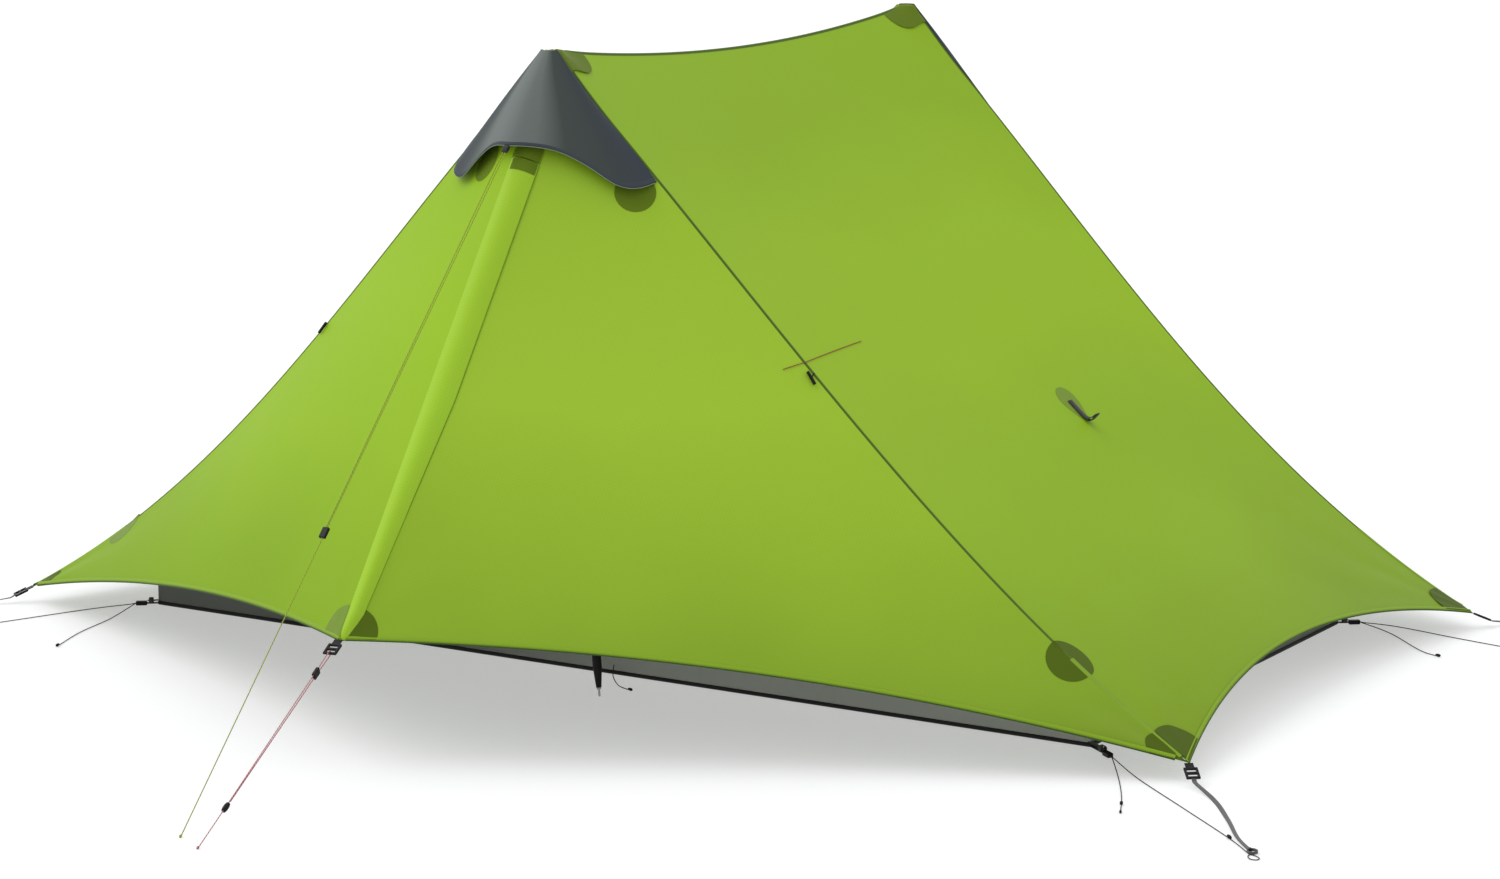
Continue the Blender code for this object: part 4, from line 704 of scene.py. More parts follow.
def turned(name, profile, start, way, paint, steps=16):
    """A round piece turned about the line from start along way. The profile is (along, radius)."""
    way = way.normalized()
    side = way.orthogonal().normalized()
    other = way.cross(side)
    points = []
    for along, radius in profile:
        for step in range(steps + 1):
            angle = 2.0 * math.pi * step / steps
            spread = (side * math.cos(angle) + other * math.sin(angle)) * radius
            points.append(start + way * along + spread)
    uvs = [(along, step / steps) for along, _ in profile for step in range(steps + 1)]
    return new_piece(name, points, grid_faces(steps, len(profile) - 1), paint, uvs)


def knot(name, place, way, size, paint):
    """An overhand knot, drawn as a full, ribbed bead of cord."""
    profile = []
    for step in range(13):
        share = step / 12
        bulge = math.sin(math.pi * share) ** 0.6
        rib = 0.12 * math.sin(share * 6.0 * math.pi)
        profile.append(((share - 0.5) * size * 1.5, max(size * 0.5 * (bulge + rib * bulge), 0.0001)))
    return turned(name, profile, place, way, paint, 12)


def trees_of(*pieces):
    """The meshes of some pieces, in the form that a ray can be cast at."""
    return [BVHTree.FromPolygons([vert.co.copy() for vert in piece.data.vertices],
                                 [tuple(face.vertices) for face in piece.data.polygons])
            for piece in pieces]


def on_cloth(trees, point, outward, lift):
    """The point, moved along outward to lie that far above the outermost cloth there."""
    hits = [tree.ray_cast(point + outward * 0.040, -outward, 0.090) for tree in trees]
    near = [hit for hit in hits if hit[0] is not None]
    if not near:
        return point + outward * lift
    return min(near, key=lambda hit: hit[3])[0] + outward * lift


def laid_disc(name, trees, centre, way, outward, radius, start, end, paint):
    """A round patch, or a part of one from angle start to end, laid on the cloth."""
    side = outward.cross(way).normalized()
    points = []
    uvs = []
    for ring in range(DISC_RINGS + 1):
        for step in range(DISC_STEPS + 1):
            angle = start + (end - start) * step / DISC_STEPS
            flat = (way * math.cos(angle) + side * math.sin(angle)) * (radius * ring / DISC_RINGS)
            points.append(on_cloth(trees, centre + flat, outward, PATCH_LIFT))
            uvs.append((flat.dot(way), flat.dot(side)))
    faces = facing(points, grid_faces(DISC_STEPS, DISC_RINGS), outward)
    return new_piece(name, points, faces, paint, uvs)


# The camera stands where the photograph was taken from

camera_data = bpy.data.cameras.new("camera")
camera_data.lens = 92.64
camera_data.sensor_width = 36.0
camera = bpy.data.objects.new("camera", camera_data)
camera.location = (4.21, -6.83, 1.888)
camera.rotation_euler = (math.radians(79.355), 0.0, math.radians(31.52))
bpy.context.scene.collection.objects.link(camera)
bpy.context.scene.camera = camera

# Painted light: each panel has its own copy of the nylon, toned for the light it gets. The end panel and the
# right leaf are painted lighter and the left leaf darker, against the key light from the left, and the flap
# is painted lighter than the right leaf it lies on.
FLY = ripstop_silnylon("silnylon_lime", [(0.02, "7E9D1E"), (0.10, "88AA21"), (0.28, "95BC24"),
                                         (0.50, "A1C827"), (0.66, "A1C928"), (0.84, "97BE25")], mirror=0.07)
FLY_DOOR = ripstop_silnylon("silnylon_lime_door", [(0.02, "7A981D"), (0.12, "86A820"), (0.28, "96BC26"),
                                                   (0.50, "A7CE30"), (0.66, "A6CD30"), (0.84, "A0C72C")],
                            mirror=0.24)
FLY_LEFT = ripstop_silnylon("silnylon_lime_left", [(0.02, "84A61E"), (0.20, "8BB11F"), (0.42, "98C021"),
                                                   (0.62, "9BC521"), (0.90, "98C021")], mirror=0.05)
FLAP = ripstop_silnylon("silnylon_lime_flap", [(0.02, "A4CC30"), (0.50, "AAD634"), (0.90, "A8D232")])
DOUBLED = ripstop_silnylon("silnylon_doubled", [(0.02, "52651B"), (0.40, "5E741D"), (0.80, "687F20")],
                           mirror=0.04)
DOUBLED_THIN = ripstop_silnylon("silnylon_doubled_once", [(0.02, "6F8B20"), (0.90, "86A824")])
# Painted light: a light, lit left flank, a dark, shaded right flank and dark bluish shade at the lobes'
# edges
HOOD = ripstop_silnylon("silnylon_slate", [(0.02, "2F363F"), (0.12, "353D43"), (0.24, "515857"),
                                           (0.38, "727975"), (0.60, "6C736F"), (0.70, "454C4A"),
                                           (0.86, "414847"), (0.98, "39404A")], "hood", 0.6)
SEAM = sewn_tape("felled_seam", "55701F", "445A1A", 2)
SEAM_TAPE = sewn_tape("seam_tape", "86A72A", "7A9A26", 2)
HEM = sewn_tape("rolled_hem", "88AB24", "7A9A22", 1)
# Partly painted shade: the binding's dark line also stands for the shade under the hems
BINDING_AND_SHADE = sewn_tape("hem_binding", "3E5A1E", "56742A", 1)
# The hood's hem is a real band; its dark tone is partly painted shade, like the hood's edges
HOOD_HEM = sewn_tape("hood_hem", "3C434A", "2E343B", 1)
PIPING = sewn_tape("hood_piping", "8B9A82", "6B7476", 1)
# Painted light: one floor nylon in a shaded copy and a lit copy, and a front copy that fades between them
FLOOR_PAINTED_SHADE = coated_floor_nylon("floor_nylon_painted_shade", "8A8A87", "7E7E7B")
FLOOR_PAINTED_LIGHT = coated_floor_nylon("floor_nylon_painted_light", "E4E5E0", "D8D9D4")
FLOOR_FRONT_PAINTED_FADE = coated_floor_nylon("floor_nylon_front_painted_fade", "8A8A87", "7E7E7B", "E4E5E0", "D8D9D4")
MESH = insect_mesh("insect_mesh", "6A6A66")
WEB_BLACK = woven_webbing("webbing_black", "2B2B2C", "121213")
WEB_GREY = woven_webbing("webbing_grey", "808181", "4C4D4D")
LINE_DARK = braided_cord("line_dark", "1C1C1E", "4C4C50")
LINE_YELLOW = braided_cord("line_yellow", "7F9A18", "BFC83A")
LINE_RED = braided_cord("line_red", "B0505A", "E7D3D2")
LINE_TIE = braided_cord("line_tie", "8C3A2E", "A85A44")
ACETAL = moulded_acetal("acetal_black", "0F0F10")
ALUMINIUM = anodised_aluminium("anodised_aluminium", "8D9093")
FERRULE = moulded_acetal("ferrule_plastic", "1B1B1C", 0.5)
FERRULE_OUTLINE = ((0.0180, 0.00530), (0.0580, 0.00905), (0.0780, 0.00905), (0.0840, 0.00825),
                   (0.0843, 0.00780))
FOAM = cellular_foam("eva_foam", "2C2C2E")
ZIP = {"front": zip_coil("zip_coil_front", tuple(ZIP_DOWN)),
       "rear": zip_coil("zip_coil_rear", tuple(REAR @ ZIP_DOWN))}


# Cords first, on the routes of their solids

def lock_way(sign_x, sign_y):
    return Vector((sign_x * 0.80, sign_y * 0.60, 0.0)).normalized()


def tab_reach(sign_x, sign_y):
    """How far the webbing between a floor corner and its lock reaches. The near corner's is longer."""
    return LONG_TAB_REACH if sign_x > 0 > sign_y else TAB_REACH


def lock_end(sign_x, sign_y):
    """The middle of a floor lock's outer face."""
    corner = Vector((sign_x * INNER_LENGTH / 2, sign_y * INNER_WIDTH / 2, LOCK_THICKNESS / 2 + GAP))
    return corner + lock_way(sign_x, sign_y) * (tab_reach(sign_x, sign_y) + LOCK_LENGTH + GAP)


def grounded(points, radius, count):
    """A smooth route through the points that never goes below the ground."""
    route = smooth_route([Vector(point) for point in points], count)
    for point in route:
        point.z = max(point.z, radius + GAP)
    return route


def lay_cord(name, route, radius, paint, slot, pieces, replaced):
    """A free line on its route, put with the tent together with the pieces at its end."""
    line = rope(name, route, radius, paint)
    carry(line, "tent", slot, *replaced)
    for piece in pieces:
        if piece.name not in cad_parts:
            carry(piece, "tent", slot)
    return line


def lay_dark_line(name, route, pieces, replaced):
    return lay_cord(name, route, CORD_RADIUS, LINE_DARK, "dark_cord", pieces, [replaced])


def level_ways(route):
    """At the end of a route, its way along the ground and the way to its side."""
    way = route[-1] - route[-2]
    way.z = 0.0
    way.normalize()
    return way, Vector((-way.y, way.x, 0.0))


def end_bead(name, route, size):
    """A small moulded cord end over the last centimetre of a line."""
    way = (route[-1] - route[-2]).normalized()
    profile = [(-0.010, 0.0004), (-0.009, size * 0.34), (-0.005, size * 0.48), (0.0, size * 0.50),
               (0.002, size * 0.40), (0.003, 0.0004)]
    place = route[-1].copy()
    place.z = max(place.z, size * 0.5 + GAP)
    return turned(name, profile, place, way, ACETAL, 12)


def peg_loop(name, route):
    """The loop for a peg at the end of a dark line, lying on the ground."""
    length = PEG_LOOP_LENGTH
    way, side = level_ways(route)
    low = CORD_RADIUS + GAP
    start = route[-1].copy()
    start.z = low
    points = [start, start + way * length * 0.35 + side * length * 0.20,
              start + way * length * 0.78 + side * length * 0.24, start + way * length,
              start + way * length * 0.78 - side * length * 0.24,
              start + way * length * 0.35 - side * length * 0.20, start + way * 0.002]
    loop = smooth_route(points, 40)
    for point in loop:
        point.z = low
    return rope(name, loop, CORD_RADIUS, LINE_DARK)


def beyond_floor(sign_x, sign_y, out, along):
    """A place on the ground beyond a corner of the floor, out past its end and along past its side."""
    x = sign_x * (INNER_LENGTH / 2 + out)
    return Vector((x, sign_y * (INNER_WIDTH / 2 + along), CORD_RADIUS + GAP))


def beyond_foot(out, along):
    """A place on the ground beyond the front right corner of the outer tent."""
    return Vector((FOOT.x + out, FOOT.y - along, STRAP_RADIUS + GAP))


start = lock_end(1, -1)
way = lock_way(1, -1)
route = grounded([start, start + way * 0.014 - UP * 0.002]
                 + [beyond_floor(1, -1, *place_at) for place_at in ((0.170, 0.151), (0.320, 0.281),
                                                                    (0.467, 0.409), (0.535, 0.477))],
                 CORD_RADIUS, 40)
bead_at = beyond_floor(1, -1, 0.467, 0.409)
bead_at.z = 0.0040
middle_bead = turned("corner_cord_bead_front_right",
                     [(-0.007, 0.0008), (-0.006, 0.0028), (0.0, 0.0036), (0.006, 0.0028), (0.007, 0.0008)],
                     bead_at, Vector((0.70, -0.71, 0.0)), ACETAL, 12)
lay_dark_line("corner_line_front_right", route,
              [middle_bead, peg_loop("corner_line_loop_front_right", route)], "corner_cord_front_right")
beside = Vector((-0.60, -0.80, 0.0)) * 0.0025
route = grounded([start + beside + way * 0.001, start + beside * 2.0 + way * 0.016]
                 + [beyond_floor(1, -1, *place_at) for place_at in ((0.142, 0.173), (0.198, 0.276),
                                                                    (0.240, 0.366))], CORD_RADIUS, 34)
bead_place = route[28]
tail_bead = turned("corner_tail_bead_front_right",
                   [(-0.005, 0.0008), (-0.004, 0.0030), (0.004, 0.0030), (0.005, 0.0008)],
                   Vector((bead_place.x, bead_place.y, 0.0035)), route[29] - route[28], ACETAL, 12)
lay_dark_line("corner_tail_line_front_right", route,
              [tail_bead, end_bead("corner_tail_end_front_right", route, 0.005)], "corner_tail_front_right")

for corner_name, sign_x, sign_y, line_points, tail_points in (
        ("front_left", -1, -1, ((0.095, 0.111), (0.170, 0.291), (0.225, 0.421)),
         ((-0.002, 0.161), (-0.029, 0.287), (-0.071, 0.405))),
        ("rear_right", 1, 1, ((0.115, 0.043), (0.260, 0.011), (0.415, -0.019)),
         ((0.125, -0.019), (0.237, -0.129), (0.290, -0.159)))):
    start = lock_end(sign_x, sign_y)
    way = lock_way(sign_x, sign_y)
    ahead = [beyond_floor(sign_x, sign_y, *place_at) for place_at in line_points]
    route = grounded([start, start + way * 0.010 - UP * 0.002] + ahead, CORD_RADIUS, 34)
    lay_dark_line("corner_line_" + corner_name, route,
                  [peg_loop("corner_line_loop_" + corner_name, route)], "corner_cord_" + corner_name)
    beside = Vector((0.60, -0.80, 0.0)) * 0.0026
    ahead = [beyond_floor(sign_x, sign_y, *place_at) for place_at in tail_points]
    route = grounded([start + beside + way * 0.001, start + beside * 3.0 + way * 0.002] + ahead,
                     CORD_RADIUS, 34)
    lay_dark_line("corner_tail_line_" + corner_name, route,
                  [end_bead("corner_tail_end_" + corner_name, route, 0.0065)], "corner_tail_" + corner_name)

wall = -INNER_WIDTH / 2
low = CORD_RADIUS + GAP
route = grounded([(0.058, wall - CORD_RADIUS - GAP, 0.020), (0.075, wall - 0.030, 0.006),
                  (0.119, wall - 0.075, low), (0.160, wall - 0.094, low)], CORD_RADIUS, 26)
lay_dark_line("floor_loop_line", route, [end_bead("floor_loop_end", route, 0.006)],
              "floor_loop_cord")


def corner_pull():
    return Vector((0.62, -0.77, -0.42)).normalized()


def lay_strap(name, points, count, replaced):
    """The light webbing from a corner buckle to its peg, which turns on its side halfway."""
    pull_route = smooth_route([Vector(point) for point in points], count)
    acrosses = []
    for place, point in enumerate(pull_route):
        share = place / (count - 1)
        point.z = max(point.z - 0.0010 * min(share * 4.0, 1.0), 0.0011)
        ahead = pull_route[min(place + 1, count - 1)] - pull_route[max(place - 1, 0)]
        flat = Vector((-ahead.y, ahead.x, 0.0)).normalized()
        acrosses.append(flat + UP * (0.25 * math.sin(share * 2.0 * math.pi)))
    ribbon = strap(name, pull_route, acrosses, STRAP_WIDTH, 0.0013, WEB_GREY)
    carry(ribbon, "tent", "strap", replaced)
    way, side = level_ways(pull_route)
    end = pull_route[-1]
    ring = []
    for step in range(25):
        angle = math.pi * (1.0 - 2.0 * step / 24)
        ring.append(end + way * (0.011 * (1.0 - math.cos(angle + math.pi)))
                    + side * (0.009 * math.sin(angle)))
    for point in ring:
        point.z = 0.0034
    loop = strap(name + "_loop", ring, [UP] * 25, 0.0055, 0.0012, WEB_GREY)
    carry(loop, "tent", "strap")
    tip = turned(name + "_peg_ring", [(-0.004, 0.0012), (-0.003, 0.0030), (0.003, 0.0030), (0.004, 0.0012)],
                 end + UP * 0.0022, way, ACETAL, 12)
    carry(tip, "tent", "plastic")


start = FOOT + corner_pull() * (BUCKLE_REACH + 3.0 * GAP)
lay_strap("corner_webbing_front_right",
          [start, start + corner_pull() * 0.012]
          + [beyond_foot(*place_at) for place_at in ((0.095, 0.094), (0.168, 0.195), (0.225, 0.282),
                                                     (0.276, 0.342))], 40, "corner_strap_front_right")
for corner_name, mirror in (("front_left", MIRROR_X), ("rear_right", MIRROR_Y)):
    points = [start, start + corner_pull() * 0.012]
    points += [beyond_foot(*place_at) for place_at in ((0.103, 0.118), (0.188, 0.224), (0.276, 0.334))]
    lay_strap("corner_webbing_" + corner_name, [mirror @ point for point in points], 34,
              "corner_strap_" + corner_name)


def guy_frame(top, foot):
    """A guy's line: its top, its way down, its side and its length."""
    down = foot - top
    length = down.length
    down = down / length
    side = (X_WAY - down * down.x).normalized()
    return top, down, side, length


def u_turn(top, down, side, spread):
    """Half a turn of a line round its top, from one side to the other."""
    return [top + side * (spread * math.cos(math.pi * step / 10))
            - down * (spread * math.sin(math.pi * step / 10)) for step in range(11)]


crest = hood_crest()
guy_foot = Vector((*APEX_GUY_FOOT, GUY_RADIUS + GAP))
guy_way = (guy_foot - crest).normalized()
apex_frame = guy_frame(crest + guy_way * (2.0 * GAP + LOOP_LENGTH - LOOP_BAR / 2), guy_foot)
top, down, side, length = apex_frame
knot_down = APEX_TENSIONER_DOWN + TENSIONER_LENGTH
route = [top + down * knot_down - side * 0.0014, top + down * APEX_TENSIONER_DOWN - side * 0.0014]
for step in range(1, 8):
    share = 1.0 - step / 8
    route.append(top + down * (APEX_TENSIONER_DOWN * share) - side * (0.0014 + 0.0015 * (1.0 - share)))
route.extend(reversed(u_turn(top, down, side, 0.0029)))
for step in range(1, 9):
    share = step / 8
    route.append(top + down * (APEX_TENSIONER_DOWN * share) + side * (0.0029 - 0.0015 * share))
route.append(top + down * knot_down + side * 0.0014)
for step in range(1, 9):
    share = step / 8
    route.append(top + down * (knot_down + (length - knot_down) * share) + side * 0.0014 * (1.0 - share))
apex_end = knot("apex_guy_end_knot", route[-1] + UP * 0.0012, down, KNOT_SIZE, LINE_YELLOW)
lay_cord("apex_guy_line", route, GUY_RADIUS, LINE_YELLOW, "yellow_guy",
         [apex_end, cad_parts["apex_guy_tensioner"]], ["apex_guy"])

guy_foot = Vector((*PORCH_GUY_FOOT, GUY_RADIUS + GAP))
pull = (guy_foot - PORCH).normalized()
guy_top = PORCH + pull * (PORCH_TAB_START + BUCKLE_REACH - BUCKLE_BAR / 2)
top, down, side, length = guy_frame(guy_top, guy_foot)
lift = down.cross(UP.cross(down).normalized()).normalized()
low_knot = length * 0.82
knot_down = PORCH_TENSIONER_DOWN + TENSIONER_LENGTH
route = []
for step in range(9):
    share = step / 8
    run = low_knot - 0.030 + (knot_down - low_knot + 0.030) * share
    route.append(top + down * run - lift * (0.0023 + 0.0007 * share))
route.append(top + down * PORCH_TENSIONER_DOWN - lift * 0.0030)
route.append(top + down * PORCH_TENSIONER_DOWN * 0.5 - lift * 0.0040)
route.extend(reversed(u_turn(top, down, lift, 0.0045)))
route.append(top + down * PORCH_TENSIONER_DOWN * 0.5 + lift * 0.0040)
route.append(top + down * PORCH_TENSIONER_DOWN + lift * 0.0030)
for step in range(9):
    share = step / 8
    run = knot_down + (low_knot - knot_down) * share
    route.append(top + down * run + lift * 0.0030 * (1.0 - share))
route.append(top + down * (low_knot + (length - low_knot) * 0.5))
route.append(top + down * length)
porch_end = knot("porch_guy_end_knot", route[-1] + UP * 0.0012, down, KNOT_SIZE, LINE_RED)
small_lock = turned("porch_guy_small_lock",
                    [(-0.011, 0.0016), (-0.010, 0.0040), (-0.004, 0.0052), (0.004, 0.0052),
                     (0.010, 0.0040), (0.011, 0.0016)],
                    top + down * (low_knot - 0.012) - lift * 0.0008, down, ACETAL, 14)
lay_cord("porch_guy_line", route, GUY_RADIUS, LINE_RED, "red_guy",
         [porch_end, small_lock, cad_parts["porch_guy_tensioner"]], ["porch_guy"])


# The outer tent's cloth

def end_surface(u, v):
    """The right end panel's outer face, with the folds that its corners pull into it."""
    point = end_point(u, v)
    ease = edge_ease(u, v)
    proud = 0.0
    for foot, across in ((FOOT, 1.0), (MIRROR_Y @ FOOT, -1.0)):
        into = Vector((0.3, across, 0.6)) - END_DOWN * 0.9
        proud += tense(point, foot, into, END_NORMAL, 0.24, 13.0, 0.0030)
    proud += 0.0030 * noise.noise(Vector((point.y * 2.2, v * 2.0, 3.7)))
    return tented(point + END_NORMAL * (CLOTH + proud * ease))


def door_surface(s, q):
    """The right half of a porch: its outer face, from the seam down to the hem."""
    point = door_point(s, q)
    if s < 1e-6:
        point = PORCH.lerp(APEX, 1.0 - q)
    ease = edge_ease(s, q)
    proud = tense(point, FOOT, (APEX + PORCH) * 0.5 - FOOT, DOOR_NORMAL, 0.22, 15.0, 0.0034)
    proud += tense(point, PORCH, APEX.lerp(FOOT, 0.5) - PORCH, DOOR_NORMAL, 0.16, 9.0, 0.0022)
    proud += 0.0028 * noise.noise(Vector((s * 2.4, q * 2.0, 8.1)))
    return tented(point + DOOR_NORMAL * (CLOTH + proud * ease))


# A leaf's cloth stays with the tent along its top edge and turns into the leaf over the fold zone
FOLD_LINE = APEX + ZIP_DOWN * DOOR_TOP_DROP
FOLD_AXIS = (FOOT - FOLD_LINE).normalized()
FOLD_AWAY = DOOR_NORMAL.cross(FOLD_AXIS).normalized()
if FOLD_AWAY.z > 0.0:
    FOLD_AWAY = -FOLD_AWAY
FOLD_FROM = max((door_surface(CORNER_SHARE * step / 40, DOOR_TOP_SHARE) - FOLD_LINE).dot(FOLD_AWAY)
                for step in range(41))
FOLD_ZONE = 0.060


def fold(piece, side_name, hand, place, *stands_for):
    """Let a piece of a leaf's cloth bend along the leaf's fold line."""
    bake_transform(piece, "tent", f"{side_name}_door_{hand}",
             start=tuple(place @ (FOLD_LINE + FOLD_AWAY * FOLD_FROM)),
             end=tuple(place @ (FOLD_LINE + FOLD_AWAY * (FOLD_FROM + FOLD_ZONE))))
    if stands_for:
        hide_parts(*stands_for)


fly_pieces = {}
for end_name, turn in ENDS:
    panel = cloth("fly_end_" + end_name, lambda u, v: turn @ end_surface(u, v), 80, 90, turn @ END_NORMAL,
                  turn @ Y_WAY, turn @ END_DOWN, FLY)
    carry(panel, "tent", "fly", "end_panel_" + end_name)
    hang(panel)
    fly_pieces["end_" + end_name] = panel

for side_name, turn in SIDES:
    for hand, mirror in HANDS:
        place = turn @ mirror
        paint = FLY_DOOR if hand == "right" else FLY_LEFT
        top_half = porch_cloth(f"fly_{side_name}_{hand}_top",
                               lambda u, v: door_surface(u * CORNER_SHARE, v * DOOR_TOP_SHARE),
                               72, 10, place, paint)
        carry(top_half, "tent", "fly", side_name + "_yoke")
        hang(top_half)
        leaf = porch_cloth(f"fly_{side_name}_{hand}_leaf",
                           lambda u, v: door_surface(u * CORNER_SHARE,
                                                     DOOR_TOP_SHARE + v * (1.0 - DOOR_TOP_SHARE)),
                           84, 60, place, paint)
        fold(leaf, side_name, hand, place, f"{side_name}_door_{hand}")
        hang(leaf)
        fly_pieces[f"{side_name}_{hand}_top"] = top_half
        fly_pieces[f"{side_name}_{hand}_leaf"] = leaf

    # The storm flap lies over the zip, in three lengths that meet edge to edge
    # The top length, under the hood, is doubled cloth; its dark tone is partly painted shade from the hood
    spans = (("top", 0.165, DOOR_TOP_DROP, "tent", 8, DOUBLED),
             ("pleat", DOOR_TOP_DROP + 0.0030, FLAP_SPLIT_DROP, side_name + "_door_right", 14, FLAP),
             ("lower", FLAP_SPLIT_DROP, ZIP_LENGTH - 0.0010, side_name + "_door_left", 40, FLAP))
    for part, high, lowest, body, rows, paint in spans:
        flap = porch_cloth(f"storm_flap_{side_name}_{part}",
                           lambda u, v: flap_place(high + (lowest - high) * v, u), 10, rows, turn, paint)
        carry(flap, body, "fly")
        hang(flap)

        def flap_edge(out, under):
            return lambda t: (flap_place(high + (lowest - high) * t, 1.0) + ZIP_ACROSS * out
                              - DOOR_NORMAL * under)

        edge = tape(f"storm_flap_hem_{side_name}_{part}",
                    [flap_edge(-0.008, -0.0005), flap_edge(-0.001, -0.0006), flap_edge(0.0004, 0.0002),
                     flap_edge(-0.001, 0.0012), flap_edge(-0.008, 0.0010)], rows * 2, HEM, turn)
        carry(edge, body, "fly")

    # Its dark doubled tone is partly painted shade, for the hood's shadow just below its lower edge
    patch = porch_cloth("storm_flap_patch_" + side_name,
                        lambda u, v: (flap_place(DOOR_TOP_DROP + 0.0034 + 0.024 * v, 0.06 + 0.90 * u)
                                      + DOOR_NORMAL * 0.0005), 10, 4, turn, DOUBLED)
    carry(patch, side_name + "_door_right", "fly")


# Seams, hems and bindings

def seam_tape(name, start, end, half_width, proud, paint, turn):
    """A band over a sloping seam, lying on the door on one side and on the end panel on the other."""
    def rail(out, side, high):
        def at(t):
            point = seam_point(start + (end - start) * t)
            if side > 0:
                return tented(point + SEAM_TO_DOOR * out + DOOR_NORMAL * high)
            if side < 0:
                return tented(point + SEAM_TO_END * out + END_NORMAL * high)
            return tented(point + CREST_NORMAL * high)
        return at
    rails = [rail(half_width, 1, CLOTH - 0.0004), rail(half_width * 0.94, 1, CLOTH + proud * 0.6),
             rail(half_width * 0.35, 1, CLOTH + proud), rail(0.0, 0, CLOTH * 1.25 + proud),
             rail(half_width * 0.35, -1, CLOTH + proud), rail(half_width * 0.94, -1, CLOTH + proud * 0.6),
             rail(half_width, -1, CLOTH - 0.0004)]
    return tape(name, rails, 96, paint, turn)


def hem_tape(name, edge, into, normal, turn):
    """A rolled hem: the cloth turned over the edge, with its stitching on the outer side."""
    def rail(inward, high):
        return lambda t: edge(t) + into(t) * inward + normal * high
    rails = [rail(HEM_WIDTH, CLOTH - 0.0003), rail(HEM_WIDTH * 0.95, CLOTH + 0.0005),
             rail(HEM_WIDTH * 0.4, CLOTH + 0.0007), rail(0.0008, CLOTH + 0.0005), rail(-0.0006, 0.0008),
             rail(0.0008, -0.0003), rail(HEM_WIDTH, -0.0001)]
    return tape(name, rails, HEM_STEPS, HEM, turn)


def hem_binding(name, edge, into, normal, turn):
    """The bias binding round a hem's edge, a thin dark line seen from the side. Its dark tone is partly
    painted shade, for the shade under the hem's edge.
    """
    route = [turn @ (edge(step / HEM_STEPS) - into(step / HEM_STEPS) * 0.0008 + normal * 0.0004)
             for step in range(HEM_STEPS + 1)]
    return rope(name, route, 0.0016, BINDING_AND_SHADE, 6)


def flat_into(edge, normal, towards):
    """At each place along an edge, the way into the cloth, square to the edge."""
    def into(t):
        way = edge(min(t + 0.01, 1.0)) - edge(max(t - 0.01, 0.0))
        square = normal.cross(way).normalized()
        if square.dot(towards) < 0.0:
            square = -square
        return square
    return into


end_into = flat_into(end_hem_point, END_NORMAL, -END_DOWN)
porch_into = flat_into(porch_hem_point, DOOR_NORMAL, -ZIP_DOWN)


def porch_edge(t):
    return porch_hem_point(t * CORNER_SHARE)


for end_name, turn in ENDS:
    hem_of_end = (end_hem_point, end_into, END_NORMAL, turn)
    carry(hem_tape("end_hem_" + end_name, *hem_of_end), "tent", "fly")
    carry(hem_binding("end_hem_binding_" + end_name, *hem_of_end), "tent", "fly")

for side_name, hand, place in HALVES:
    hem_of_porch = (porch_edge, porch_into, DOOR_NORMAL, place)
    fold(hem_tape(f"porch_hem_{side_name}_{hand}", *hem_of_porch), side_name, hand, place)
    fold(hem_binding(f"porch_hem_binding_{side_name}_{hand}", *hem_of_porch), side_name, hand, place)
    seam = seam_tape(f"seam_{side_name}_{hand}", 0.026, 0.992, 0.0024, 0.0010, SEAM, place)
    carry(seam, "tent", "fly")
    strip = seam_tape(f"seam_strip_{side_name}_{hand}", SEAM_PATCH_PLACE, 0.990, 0.0068, 0.0016, SEAM_TAPE,
                      place)
    carry(strip, "tent", "fly")


def ridge_rail(out, high):
    def at(t):
        u = 0.035 + 0.93 * t
        point = ridge_point(u)
        return tented(point + Vector((out, 0.0, -abs(out) * 0.886 + high)))
    return at


RIDGE_RAILS = ((-0.0040, 0.0019), (-0.0034, 0.0030), (-0.0012, 0.0033), (0.0, 0.0038), (0.0012, 0.0033),
               (0.0034, 0.0030), (0.0040, 0.0019))
ridge = tape("ridge_seam", [ridge_rail(*offsets) for offsets in RIDGE_RAILS], 90, SEAM)
carry(ridge, "tent", "fly")


# The apex: a doubled cap over the pole's cup, and the vent hood

def cap_reach(angle):
    """How far the cap reaches from the apex: further along the ridge than down the seams."""
    return CAP_REACH + (CAP_REACH_ALONG_RIDGE - CAP_REACH) * max(math.sin(angle), 0.0) ** 3


def cap_surface(u, v):
    angle = 2.0 * math.pi * u
    reach = cap_reach(angle) * v
    x = reach * math.cos(angle)
    y = reach * math.sin(angle)
    flat = APEX + Vector((x, y, plane_drop(x, y) + 0.0034))
    return tented(flat, CAP_THICKNESS)


def hood_points():
    """The hood's lower edge from the end on the left seam to the end on the right one."""
    sides = []
    for hand, given, run in ((-1, HOOD_EDGE_LEFT, HOOD_LEFT_RUN), (1, HOOD_EDGE_RIGHT, HOOD_RIGHT_RUN)):
        end = seam_point(run / SEAM_LENGTH) + SEAM_TO_DOOR * HOOD_SEAM_OFFSET + DOOR_NORMAL * HOOD_REST
        side = [hood_crest()] + [zip_point(*place_at) for place_at in given] + [end]
        sides.append([MIRROR_X @ point for point in side] if hand < 0 else side)
    return sides[0][:0:-1] + sides[1]


def eased(points, rounds):
    """The points with their small kinks taken out. The ends stay."""
    for _ in range(rounds):
        inner = [(before + point * 2.0 + after) / 4.0
                 for before, point, after in zip(points, points[1:], points[2:])]
        points = [points[0]] + inner + [points[-1]]
    return points


HOOD_LINE = eased(smooth_route(hood_points(), HOOD_COLUMNS + 1), 8)


